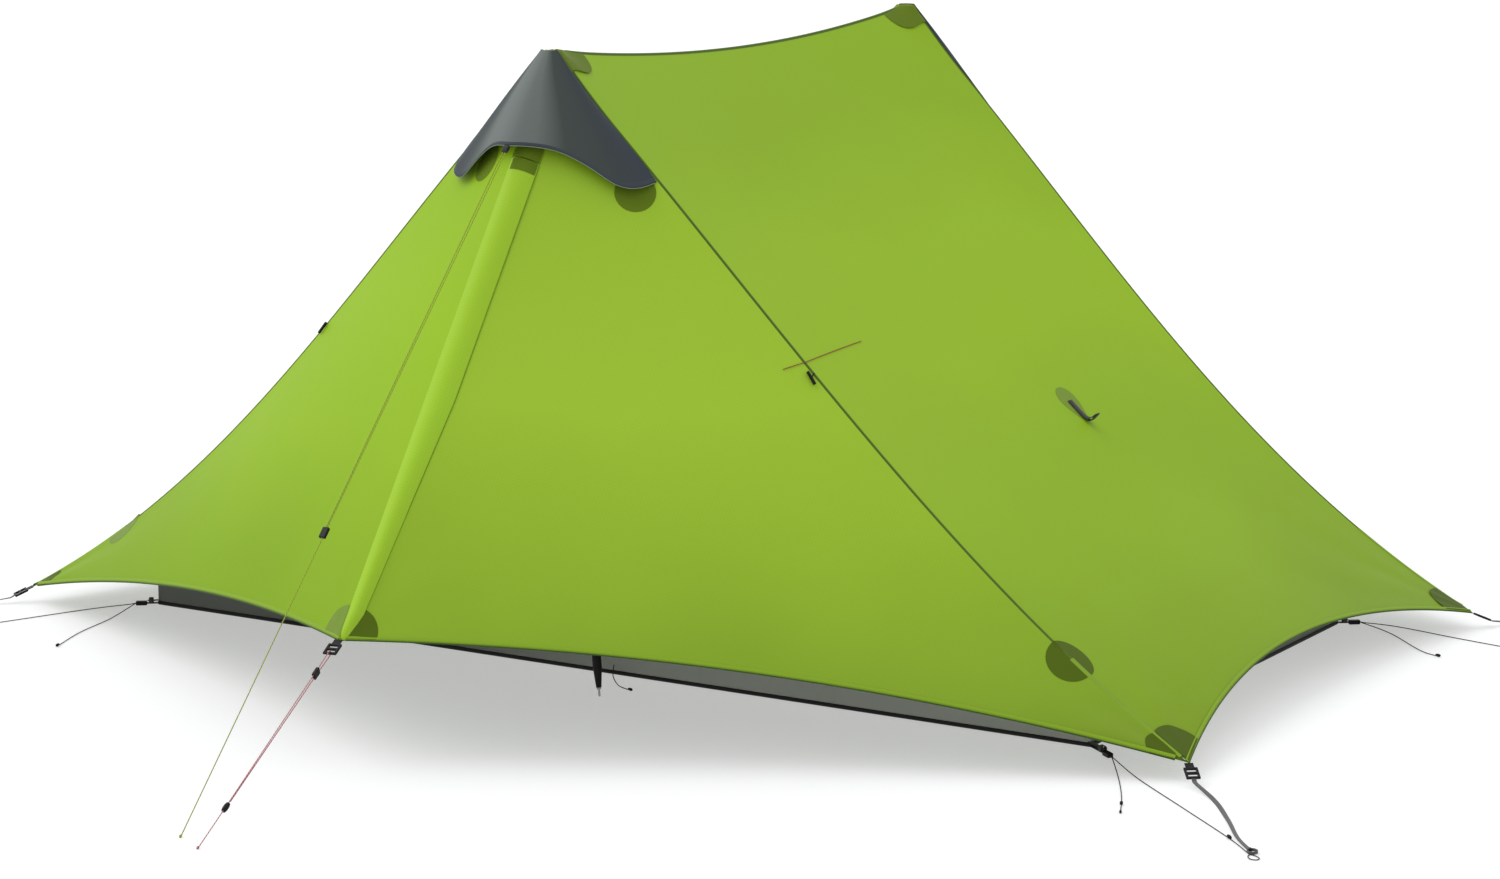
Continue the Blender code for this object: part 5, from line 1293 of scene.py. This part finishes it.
def hood_surface(u, v):
    """The hood's outer face: u from the left seam to the right one, v from the cup's rim to its lower edge.
    It runs straight from the rim to its edge, and its two sides lie along the seams."""
    place = u * (len(HOOD_LINE) - 1)
    first = min(int(place), len(HOOD_LINE) - 2)
    low_edge = HOOD_LINE[first].lerp(HOOD_LINE[first + 1], place - first)
    hand = 1.0 if u >= 0.5 else -1.0
    normal = Vector((DOOR_NORMAL.x * hand, DOOR_NORMAL.y, DOOR_NORMAL.z))
    share = abs(2.0 * u - 1.0)
    way = (normal * share + HOOD_FACING * (1.0 - share)).normalized()
    flat = Vector((low_edge.x, low_edge.y - APEX.y, 0.0)).normalized()
    rim = APEX + flat * CUP_RADIUS + UP * (CAP_THICKNESS * 2.6)
    point = rim.lerp(low_edge, v) + way * (HOOD_BOW * 4.0 * v * (1.0 - v) + CLOTH * 0.6)
    run = (HOOD_RIGHT_RUN if hand > 0.0 else HOOD_LEFT_RUN) / SEAM_LENGTH
    top_run = CUP_RADIUS / SEAM_LENGTH
    beside = tented(seam_point(top_run + (run - top_run) * v) + SEAM_TO_DOOR * HOOD_SEAM_OFFSET,
                    CAP_THICKNESS)
    beside += DOOR_NORMAL * (HOOD_REST + 0.0020 * (1.0 - v))
    if hand < 0.0:
        beside = MIRROR_X @ beside
    near = min(max((share - 0.80) / 0.20, 0.0), 1.0)
    return point.lerp(beside, near * near * (3.0 - 2.0 * near) * (1.0 - v * v))


for side_name, turn in SIDES:
    cap = cloth("apex_cap_" + side_name, lambda u, v: turn @ cap_surface(u, 0.02 + v * 0.98), 72, 24, UP,
                turn @ X_WAY, turn @ Y_WAY, DOUBLED)
    carry(cap, "tent", "fly")
    hang(cap)
    hood = cloth("vent_hood_" + side_name, lambda u, v: turn @ hood_surface(u, v), HOOD_COLUMNS, HOOD_ROWS,
                 turn @ Vector((0.0, -1.0, 0.5)), turn @ X_WAY, turn @ ZIP_DOWN, HOOD)
    shares = hood.data.uv_layers.new(name="shares")
    for loop in hood.data.loops:
        row, column = divmod(loop.vertex_index, HOOD_COLUMNS + 1)
        shares.data[loop.index].uv = (column / HOOD_COLUMNS, row / HOOD_ROWS)
    hood.data.uv_layers.active_index = 0
    carry(hood, "tent", "hood", side_name + "_hood")
    hang(hood)

    def hood_rail(v, high):
        return lambda t: hood_surface(t, v) + HOOD_FACING * high

    rails = [hood_rail(*offsets) for offsets in (
        (0.966, 0.0002), (0.970, 0.0005), (0.994, 0.0006), (1.0, 0.0), (0.994, -0.0012), (0.966, -0.0010))]
    band = tape("hood_hem_" + side_name, rails, 120, HOOD_HEM, turn)
    carry(band, "tent", "hood")
    piping = rope("hood_piping_" + side_name,
                  [turn @ (hood_surface(0.06 + 0.93 * step / 110, 1.0) - UP * 0.0008)
                   for step in range(111)], 0.0008, PIPING, 6)
    carry(piping, "tent", "hood")


# Doubled patches under the pull points

def door_trees(side_name, hand):
    return trees_of(fly_pieces[f"{side_name}_{hand}_top"], fly_pieces[f"{side_name}_{hand}_leaf"])


for side_name, hand, place in HALVES:
    end_name = hand if side_name == "front" else {"right": "left", "left": "right"}[hand]
    trees = door_trees(side_name, hand)
    # The round patch on the seam, half on each side of it. The left half of the rear porch has none.
    centre = place @ seam_point(SEAM_PATCH_PLACE)
    paint = DOUBLED if hand == "right" else DOUBLED_THIN
    if (side_name, hand) != ("rear", "left"):
        door_half = laid_disc(f"seam_patch_{side_name}_{hand}_door", trees, centre, place @ SEAM_TO_DOOR,
                              place @ DOOR_NORMAL, SEAM_PATCH_RADIUS, -math.pi / 2, math.pi / 2, paint)
        fold(door_half, side_name, hand, place)
        end_half = laid_disc(f"seam_patch_{side_name}_{hand}_end", trees_of(fly_pieces["end_" + end_name]),
                             centre, place @ SEAM_TO_END, place @ END_NORMAL, SEAM_PATCH_RADIUS,
                             -math.pi / 2, math.pi / 2, paint)
        carry(end_half, "tent", "fly")
    # The disc under the hood's tail
    disc_at = Vector((0.217, -0.736, 1.001)) if hand == "right" else Vector((0.093, -0.7845, 1.0395))
    disc = laid_disc(f"hood_patch_{side_name}_{hand}", trees, place @ disc_at, place @ SEAM_TO_DOOR,
                     place @ DOOR_NORMAL, HOOD_PATCH_RADIUS, -math.pi, math.pi, DOUBLED)
    carry(disc, "tent", "fly")


def door_sector(reach, start, end):
    """Doubled cloth over the door's foot corner: u round the corner from the seam, v out from it."""
    def at(u, v):
        q = start + (end - start) * u
        bulge = 1.0 + 0.16 * math.sin(math.pi * q)
        s = 1.0 - (CORNER_TRIM + (reach * bulge - CORNER_TRIM) * v) / SEAM_LENGTH
        return door_surface(s, min(q, 0.9985)) + DOOR_NORMAL * 0.0010
    return at


def end_sector(u, v):
    """The same over the end panel's corner, from the seam round to the hem."""
    turn_by = math.radians(3.0 + 85.0 * u)
    reach = CORNER_PATCH * v
    return end_surface(max(reach * math.sin(turn_by) / FOOT_WIDTH, 0.0012),
                       min(1.0 - reach * math.cos(turn_by) / SEAM_LENGTH, 0.9990)) + END_NORMAL * 0.0020


def porch_sector(u, v):
    """The same over the porch point of a leaf, from the zip line round to the hem."""
    turn_by = math.radians(90.0 * u)
    reach = PORCH_PATCH * v
    return door_surface(reach * math.sin(turn_by) / (FOOT - PORCH).length,
                        min(1.0 - reach * math.cos(turn_by) / ZIP_LENGTH, 0.9990)) + DOOR_NORMAL * 0.0006


for side_name, hand, place in HALVES:
    for part, surface, folds, outward in (
            ("yoke", door_sector(CORNER_PATCH, 0.0, DOOR_TOP_SHARE), False, DOOR_NORMAL),
            ("door", door_sector(CORNER_PATCH, DOOR_TOP_SHARE, 1.0), True, DOOR_NORMAL),
            ("end", end_sector, False, END_NORMAL), ("porch", porch_sector, True, DOOR_NORMAL)):
        once = part == "porch" and hand == "left"
        patch = porch_cloth(f"corner_patch_{side_name}_{hand}_{part}", surface, 20, 10, place,
                            DOUBLED_THIN if once else DOUBLED, outward)
        if folds:
            fold(patch, side_name, hand, place)
        else:
            carry(patch, "tent", "fly")
    tip = porch_cloth(f"corner_tip_{side_name}_{hand}",
                      lambda u, v: door_surface(CORNER_SHARE + (0.9985 - CORNER_SHARE) * v, u * 0.9985),
                      10, 6, place, DOUBLED)
    carry(tip, "tent", "fly")


# The patch that carries each side pull-out, and the pull-out's webbing
PULLOUT_U = 0.5 + PULLOUT_OFFSET / RIDGE_LENGTH
for end_name, turn in ENDS:
    trees = trees_of(fly_pieces["end_" + end_name])
    centre = turn @ end_point(PULLOUT_U, (PULLOUT_RUN + 0.010) / SEAM_LENGTH)
    down = turn @ END_DOWN
    across = turn @ Y_WAY
    outward = turn @ END_NORMAL
    points = []
    uvs = []
    for ring in range(DISC_RINGS + 1):
        for step in range(DISC_STEPS + 1):
            angle = 2.0 * math.pi * step / DISC_STEPS
            narrow = 1.0 - 0.35 * math.cos(angle)
            flat = down * (0.046 * math.cos(angle)) + across * (0.029 * math.sin(angle) * narrow)
            points.append(on_cloth(trees, centre + flat * (ring / DISC_RINGS), outward, PATCH_LIFT))
            uvs.append((flat.dot(across), flat.dot(down)))
    faces = facing(points, grid_faces(DISC_STEPS, DISC_RINGS), outward)
    leaf_patch = new_piece("pullout_patch_" + end_name, points, faces, DOUBLED_THIN, uvs)
    carry(leaf_patch, "tent", "fly")
    stations = [(0.000, 0.0), (0.026, 0.0), (0.048, 0.001), (0.060, 0.006), (0.065, 0.016),
                (0.0668, 0.0255), (0.0685, 0.0255), (0.0685, 0.016), (0.0670, 0.006), (0.060, 0.0012)]
    route = []
    for run, stand_off in stations:
        at = turn @ end_point(PULLOUT_U, (PULLOUT_RUN + run) / SEAM_LENGTH)
        route.append(on_cloth(trees, at, outward, 0.0014 + stand_off))
    route = smooth_route(route, 60)
    loop = strap("pullout_webbing_" + end_name, route, [across] * 60, 0.018, 0.0015, WEB_BLACK)
    carry(loop, "tent", "strap", "side_pullout_" + end_name)


# The inner tent: bathtub floor, mesh walls and mesh doors

def tray_wall_point(u, v, start, end, outward):
    """A wall of the floor, u along it and v up it, a little slack along its top."""
    point = start.lerp(end, u) + UP * (TRAY_WALL * v)
    slack = 0.0030 * math.sin(u * math.pi * 7.0) * v
    slack += 0.0022 * noise.noise(Vector((u * 9.0, v * 2.0, start.x)))
    ease = min(1.0, 14.0 * min(u, 1.0 - u))
    point += outward * (-0.0008 + slack * ease * min(v * 4.0, 1.0) - 0.004 * math.sin(math.pi * v) * ease)
    point.z = max(point.z, 0.0006)
    return point


half_length = INNER_LENGTH / 2
half_width = INNER_WIDTH / 2
corners = [Vector((-half_length, -half_width, 0.0)), Vector((0.0, -half_width, 0.0)),
           Vector((half_length, -half_width, 0.0)), Vector((half_length, half_width, 0.0)),
           Vector((0.0, half_width, 0.0)), Vector((-half_length, half_width, 0.0))]
# The foot walls take the painted shade, the rear walls the painted light, the front walls the fade between
wall_spans = (("front_left", 0, 1, (0, -1, 0), FLOOR_FRONT_PAINTED_FADE), ("front_right", 1, 2, (0, -1, 0), FLOOR_FRONT_PAINTED_FADE),
              ("foot_right", 2, 3, (1, 0, 0), FLOOR_PAINTED_SHADE), ("rear_right", 3, 4, (0, 1, 0), FLOOR_PAINTED_LIGHT),
              ("rear_left", 4, 5, (0, 1, 0), FLOOR_PAINTED_LIGHT), ("foot_left", 5, 0, (-1, 0, 0), FLOOR_PAINTED_SHADE))
for wall_name, first, second, outward, paint in wall_spans:
    outward = Vector(outward)
    start, end = corners[first], corners[second]
    piece = cloth("floor_wall_" + wall_name, lambda u, v: tray_wall_point(u, v, start, end, outward), 48, 8,
                  outward, (end - start).normalized(), UP, paint)
    carry(piece, "tent", "floor")
    hang(piece)
    for part, v, offsets, count in (
            ("welt", 0.0, ((0.0004, 0.0085), (0.0018, 0.0070), (0.0022, 0.0030), (0.0012, 0.0004),
                           (-0.002, 0.0004)), 40),
            ("rim", 1.0, ((0.0008, -0.0080), (0.0014, -0.0070), (0.0014, -0.0004), (0.0, 0.0006),
                          (-0.0014, -0.0006), (-0.0012, -0.0080)), 48)):
        band = tape(f"floor_{part}_{wall_name}",
                    [lambda t, n=n, h=h: tray_wall_point(t, v, start, end, outward) + outward * n + UP * h
                     for n, h in offsets], count, WEB_BLACK)
        carry(band, "tent", "floor")


# A webbing tab joins each floor corner to its cord lock
for corner_name, sign_x, sign_y in CORNERS:
    away = lock_way(sign_x, sign_y)
    square = Vector((-away.y, away.x, 0.0))
    corner = Vector((sign_x * half_length, sign_y * half_width, 0.0))
    reach = tab_reach(sign_x, sign_y)
    route = smooth_route([corner - away * 0.004 + UP * 0.011, corner + away * 0.008 + UP * 0.0105,
                          corner + away * (reach - 0.001) + UP * 0.0102], 14)
    tab = strap("floor_tab_" + corner_name, route, [square] * 14, 0.011, 0.0012, WEB_GREY)
    carry(tab, "tent", "strap")
    keeper = turned("floor_tab_ring_" + corner_name,
                    [(-0.0050, 0.0055), (-0.0046, 0.0072), (0.0046, 0.0072), (0.0050, 0.0055)],
                    corner + away * (reach - 0.009) + UP * 0.0100, away, WEB_GREY, 18)
    carry(keeper, "tent", "strap")


def floor_surface(u, v):
    x = (u - 0.5) * (INNER_LENGTH - 0.002)
    y = (v - 0.5) * (INNER_WIDTH - 0.002)
    ease = edge_ease(u, v)
    return Vector((x, y, 0.0016 + 0.0012 * ease * (1.0 + noise.noise(Vector((x * 5.0, y * 5.0, 1.0))))))


groundsheet = cloth("groundsheet", floor_surface, 64, 36, UP, X_WAY, Y_WAY, FLOOR_PAINTED_SHADE)
carry(groundsheet, "tent", "floor", "floor_tray")
hang(groundsheet)

INNER_PEAK = Vector((0.0, -INNER_PEAK_Y, INNER_PEAK_HEIGHT))
INNER_FOOT = Vector((INNER_LENGTH / 2, -INNER_WIDTH / 2, TRAY_WALL + 3.0 * GAP))


def mesh_end_point(u, v):
    """The left end wall of mesh, slack between its seams."""
    peak = MIRROR_X @ INNER_PEAK
    foot = MIRROR_X @ INNER_FOOT
    top_edge = (MIRROR_Y @ peak).lerp(peak, u)
    top_edge.z -= INNER_RIDGE_SAG * 4.0 * u * (1.0 - u)
    top_edge.x -= GAP
    point = top_edge.lerp((MIRROR_Y @ foot).lerp(foot, u), v)
    hollow = 0.006 * math.sin(math.pi * v) * math.sin(math.pi * u)
    return point + Vector((0.55, 0.0, -0.6)) * hollow * edge_ease(u, v)


def mesh_porch_point(u, v):
    """The fixed half of the mesh wall towards the porch."""
    peak = INNER_PEAK + Vector((-GAP, 0.0, 0.0))
    foot = MIRROR_X @ INNER_FOOT
    return peak.lerp(foot.lerp(Vector((-GAP, foot.y, foot.z)), u), v)


def mesh_door_point(u, v):
    inset = 2.0 * GAP
    low_edge = Vector((inset, INNER_FOOT.y, INNER_FOOT.z)).lerp(INNER_FOOT - Vector((inset, 0.0, 0.0)), u)
    return (INNER_PEAK + Vector((inset, 0.0, -0.012))).lerp(low_edge, v)


def porch_mesh(name, surface, turn):
    """Mesh towards a porch, from just below the inner tent's peak down to the tray."""
    return cloth(name, lambda u, v: turn @ surface(u, 0.01 + 0.99 * v), 16, 20, turn @ -Y_WAY, turn @ X_WAY,
                 turn @ UP, MESH)


for side_name, end_name, turn in (("front", "left", FRONT), ("rear", "right", REAR)):
    wall_cloth = cloth("mesh_end_" + end_name, lambda u, v: turn @ mesh_end_point(u, v), 24, 24,
                       turn @ Vector((-1.0, 0.0, 0.3)), turn @ Y_WAY,
                       turn @ Vector((-0.77, 0.0, -0.63)), MESH)
    carry(wall_cloth, "tent", "mesh", "inner_wall_" + end_name)
    hang(wall_cloth)
    half_wall = porch_mesh("mesh_wall_" + side_name, mesh_porch_point, turn)
    carry(half_wall, "tent", "mesh")
    hang(half_wall)
    door = porch_mesh("mesh_door_" + side_name, mesh_door_point, turn)
    carry(door, "inner_door_" + side_name, "mesh", "inner_door_" + side_name)
    hang(door)
    pole_up = (APEX - POLE_FOOT).normalized()
    peak = MIRROR_X @ INNER_PEAK + Vector((-0.006, 0.0, -0.006))
    top_place = APEX - pole_up * 0.044 + Vector((0.0, CUP_RADIUS + 0.0013, 0.0))
    hanger_route = [peak, peak.lerp(top_place, 0.5), top_place, top_place + pole_up * 0.006]
    hanger = strap("mesh_hanger_" + side_name, smooth_route([turn @ point for point in hanger_route], 16),
                   [turn @ X_WAY] * 16, 0.008, 0.0012, WEB_BLACK)
    carry(hanger, "tent", "strap")
    ferrule = turned("pole_ferrule_" + side_name, FERRULE_OUTLINE, turn @ POLE_FOOT, turn @ pole_up,
                     FERRULE, 20)
    carry(ferrule, side_name + "_pole_lower_shaft", "plastic")

# Webbing loop under each hood's crest
for side_name, turn in SIDES:
    top, down, side, _ = apex_frame
    high_end = top - down * (LOOP_LENGTH - LOOP_BAR / 2)
    low_end = top + down * (LOOP_BAR * 0.3)
    normal = down.cross(side)
    ring = [high_end + normal * 0.0016, high_end.lerp(low_end, 0.5) + normal * 0.0030,
            low_end + normal * 0.0014, low_end + down * 0.0006, low_end - normal * 0.0014,
            high_end.lerp(low_end, 0.5) - normal * 0.0030, high_end - normal * 0.0016]
    loop = strap("hood_loop_" + side_name, smooth_route([turn @ point for point in ring], 30),
                 [turn @ side] * 30, 0.012, 0.0010, WEB_BLACK)
    carry(loop, "tent", "strap", side_name + "_guy_loop")


# Hard parts keep their solids and take their real finish

def finish_node(name, paint):
    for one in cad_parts[name].material_slots:
        one.link = "OBJECT"
        one.material = paint


for side_name, _ in SIDES:
    for part, paint in (("apex_cup", ACETAL), ("pole_lower_shaft", ALUMINIUM),
                        ("pole_upper_shaft", ALUMINIUM), ("pole_lever", ACETAL), ("pole_grip", FOAM),
                        ("porch_hook", ACETAL), ("zip_chain", ZIP[side_name]), ("zip_slider", ACETAL)):
        finish_node(f"{side_name}_{part}", paint)
for corner_name, _, _ in CORNERS:
    finish_node("corner_buckle_" + corner_name, ACETAL)
    finish_node("floor_corner_lock_" + corner_name, ACETAL)
for name in ("door_toggle_right", "door_toggle_left", "apex_guy_tensioner", "porch_guy_tensioner"):
    finish_node(name, ACETAL)

# The door tie: a thin line from the end panel across the front right seam
trees = trees_of(fly_pieces["end_right"], fly_pieces["front_right_top"], fly_pieces["front_right_leaf"])
run = TOGGLE_SEAM_RUN / SEAM_LENGTH - 0.015
tie = [on_cloth(trees, end_point(u, run + 0.01 * u), END_NORMAL, 0.0011)
       for u in (0.185, 0.16, 0.13, 0.10, 0.07, 0.04, 0.015)]
tie.append(on_cloth(trees, seam_point(run), CREST_NORMAL, 0.0030))
for out in (0.012, 0.024, 0.036, 0.046):
    beside = seam_point(run - 0.30 * out / SEAM_LENGTH) + SEAM_TO_DOOR * out
    tie.append(on_cloth(trees, beside, CREST_NORMAL, 0.0016))
lay_cord("tie_line", smooth_route(tie, 40), CORD_RADIUS * 0.8, LINE_TIE, "red_guy", [],
         ["tie_back_cord"])


# The floor, the surroundings and the light

def seen_ray(nodes):
    """1 for a ray of the camera, for one that is reflected and for one that comes through cloth."""
    rays = add(nodes, "ShaderNodeLightPath").outputs
    seen = calc(nodes, "MAXIMUM", rays["Is Camera Ray"], rays["Is Glossy Ray"])
    return calc(nodes, "MAXIMUM", seen, rays["Is Transmission Ray"])


def floor_paint():
    """A plain pale floor. The camera and reflections see it white, and it keeps the shadow."""
    paint, nodes, shader, _ = new_finish("studio_floor", 0.9)
    shader.inputs["Base Color"].default_value = rgb("CCCCCC")
    glow = add(nodes, "ShaderNodeEmission", {"Color": (1.0, 1.0, 1.0, 1.0), "Strength": 0.46})
    none = add(nodes, "ShaderNodeEmission", {"Strength": 0.0})
    chosen = add(nodes, "ShaderNodeMixShader", {0: seen_ray(nodes), 1: none.outputs[0], 2: glow.outputs[0]})
    both = add(nodes, "ShaderNodeAddShader", {0: shader.outputs[0], 1: chosen.outputs[0]})
    paint.node_tree.links.new(both.outputs[0], nodes["Material Output"].inputs["Surface"])
    return paint


FLOOR_REACH = 60.0
FLOOR_LEVEL = -0.0004
floor = new_piece("studio_floor", [(x * FLOOR_REACH, y * FLOOR_REACH, FLOOR_LEVEL)
                                   for x, y in ((-1, -1), (1, -1), (1, 1), (-1, 1))],
                  [(0, 1, 2, 3)], floor_paint())

world = bpy.data.worlds.new("studio")
world.use_nodes = True
bpy.context.scene.world = world
world_nodes = world.node_tree.nodes
world_nodes.clear()
sky = add(world_nodes, "ShaderNodeBackground", {"Color": rgb("F4F6F8"), "Strength": 0.80})
white = add(world_nodes, "ShaderNodeBackground", {"Color": (1.0, 1.0, 1.0, 1.0), "Strength": 1.0})
chosen = add(world_nodes, "ShaderNodeMixShader",
             {0: seen_ray(world_nodes), 1: sky.outputs[0], 2: white.outputs[0]})
add(world_nodes, "ShaderNodeOutputWorld", {"Surface": chosen.outputs[0]})

key_data = bpy.data.lights.new("key", "SUN")
key_data.energy = 1.05
key_data.angle = math.radians(50.0)
key = bpy.data.objects.new("key", key_data)
LIGHT_FROM = Vector((-0.62, -0.25, 0.85))
key.rotation_euler = LIGHT_FROM.to_track_quat("Z", "Y").to_euler()
bpy.context.scene.collection.objects.link(key)

bpy.context.scene.view_settings.view_transform = "Standard"
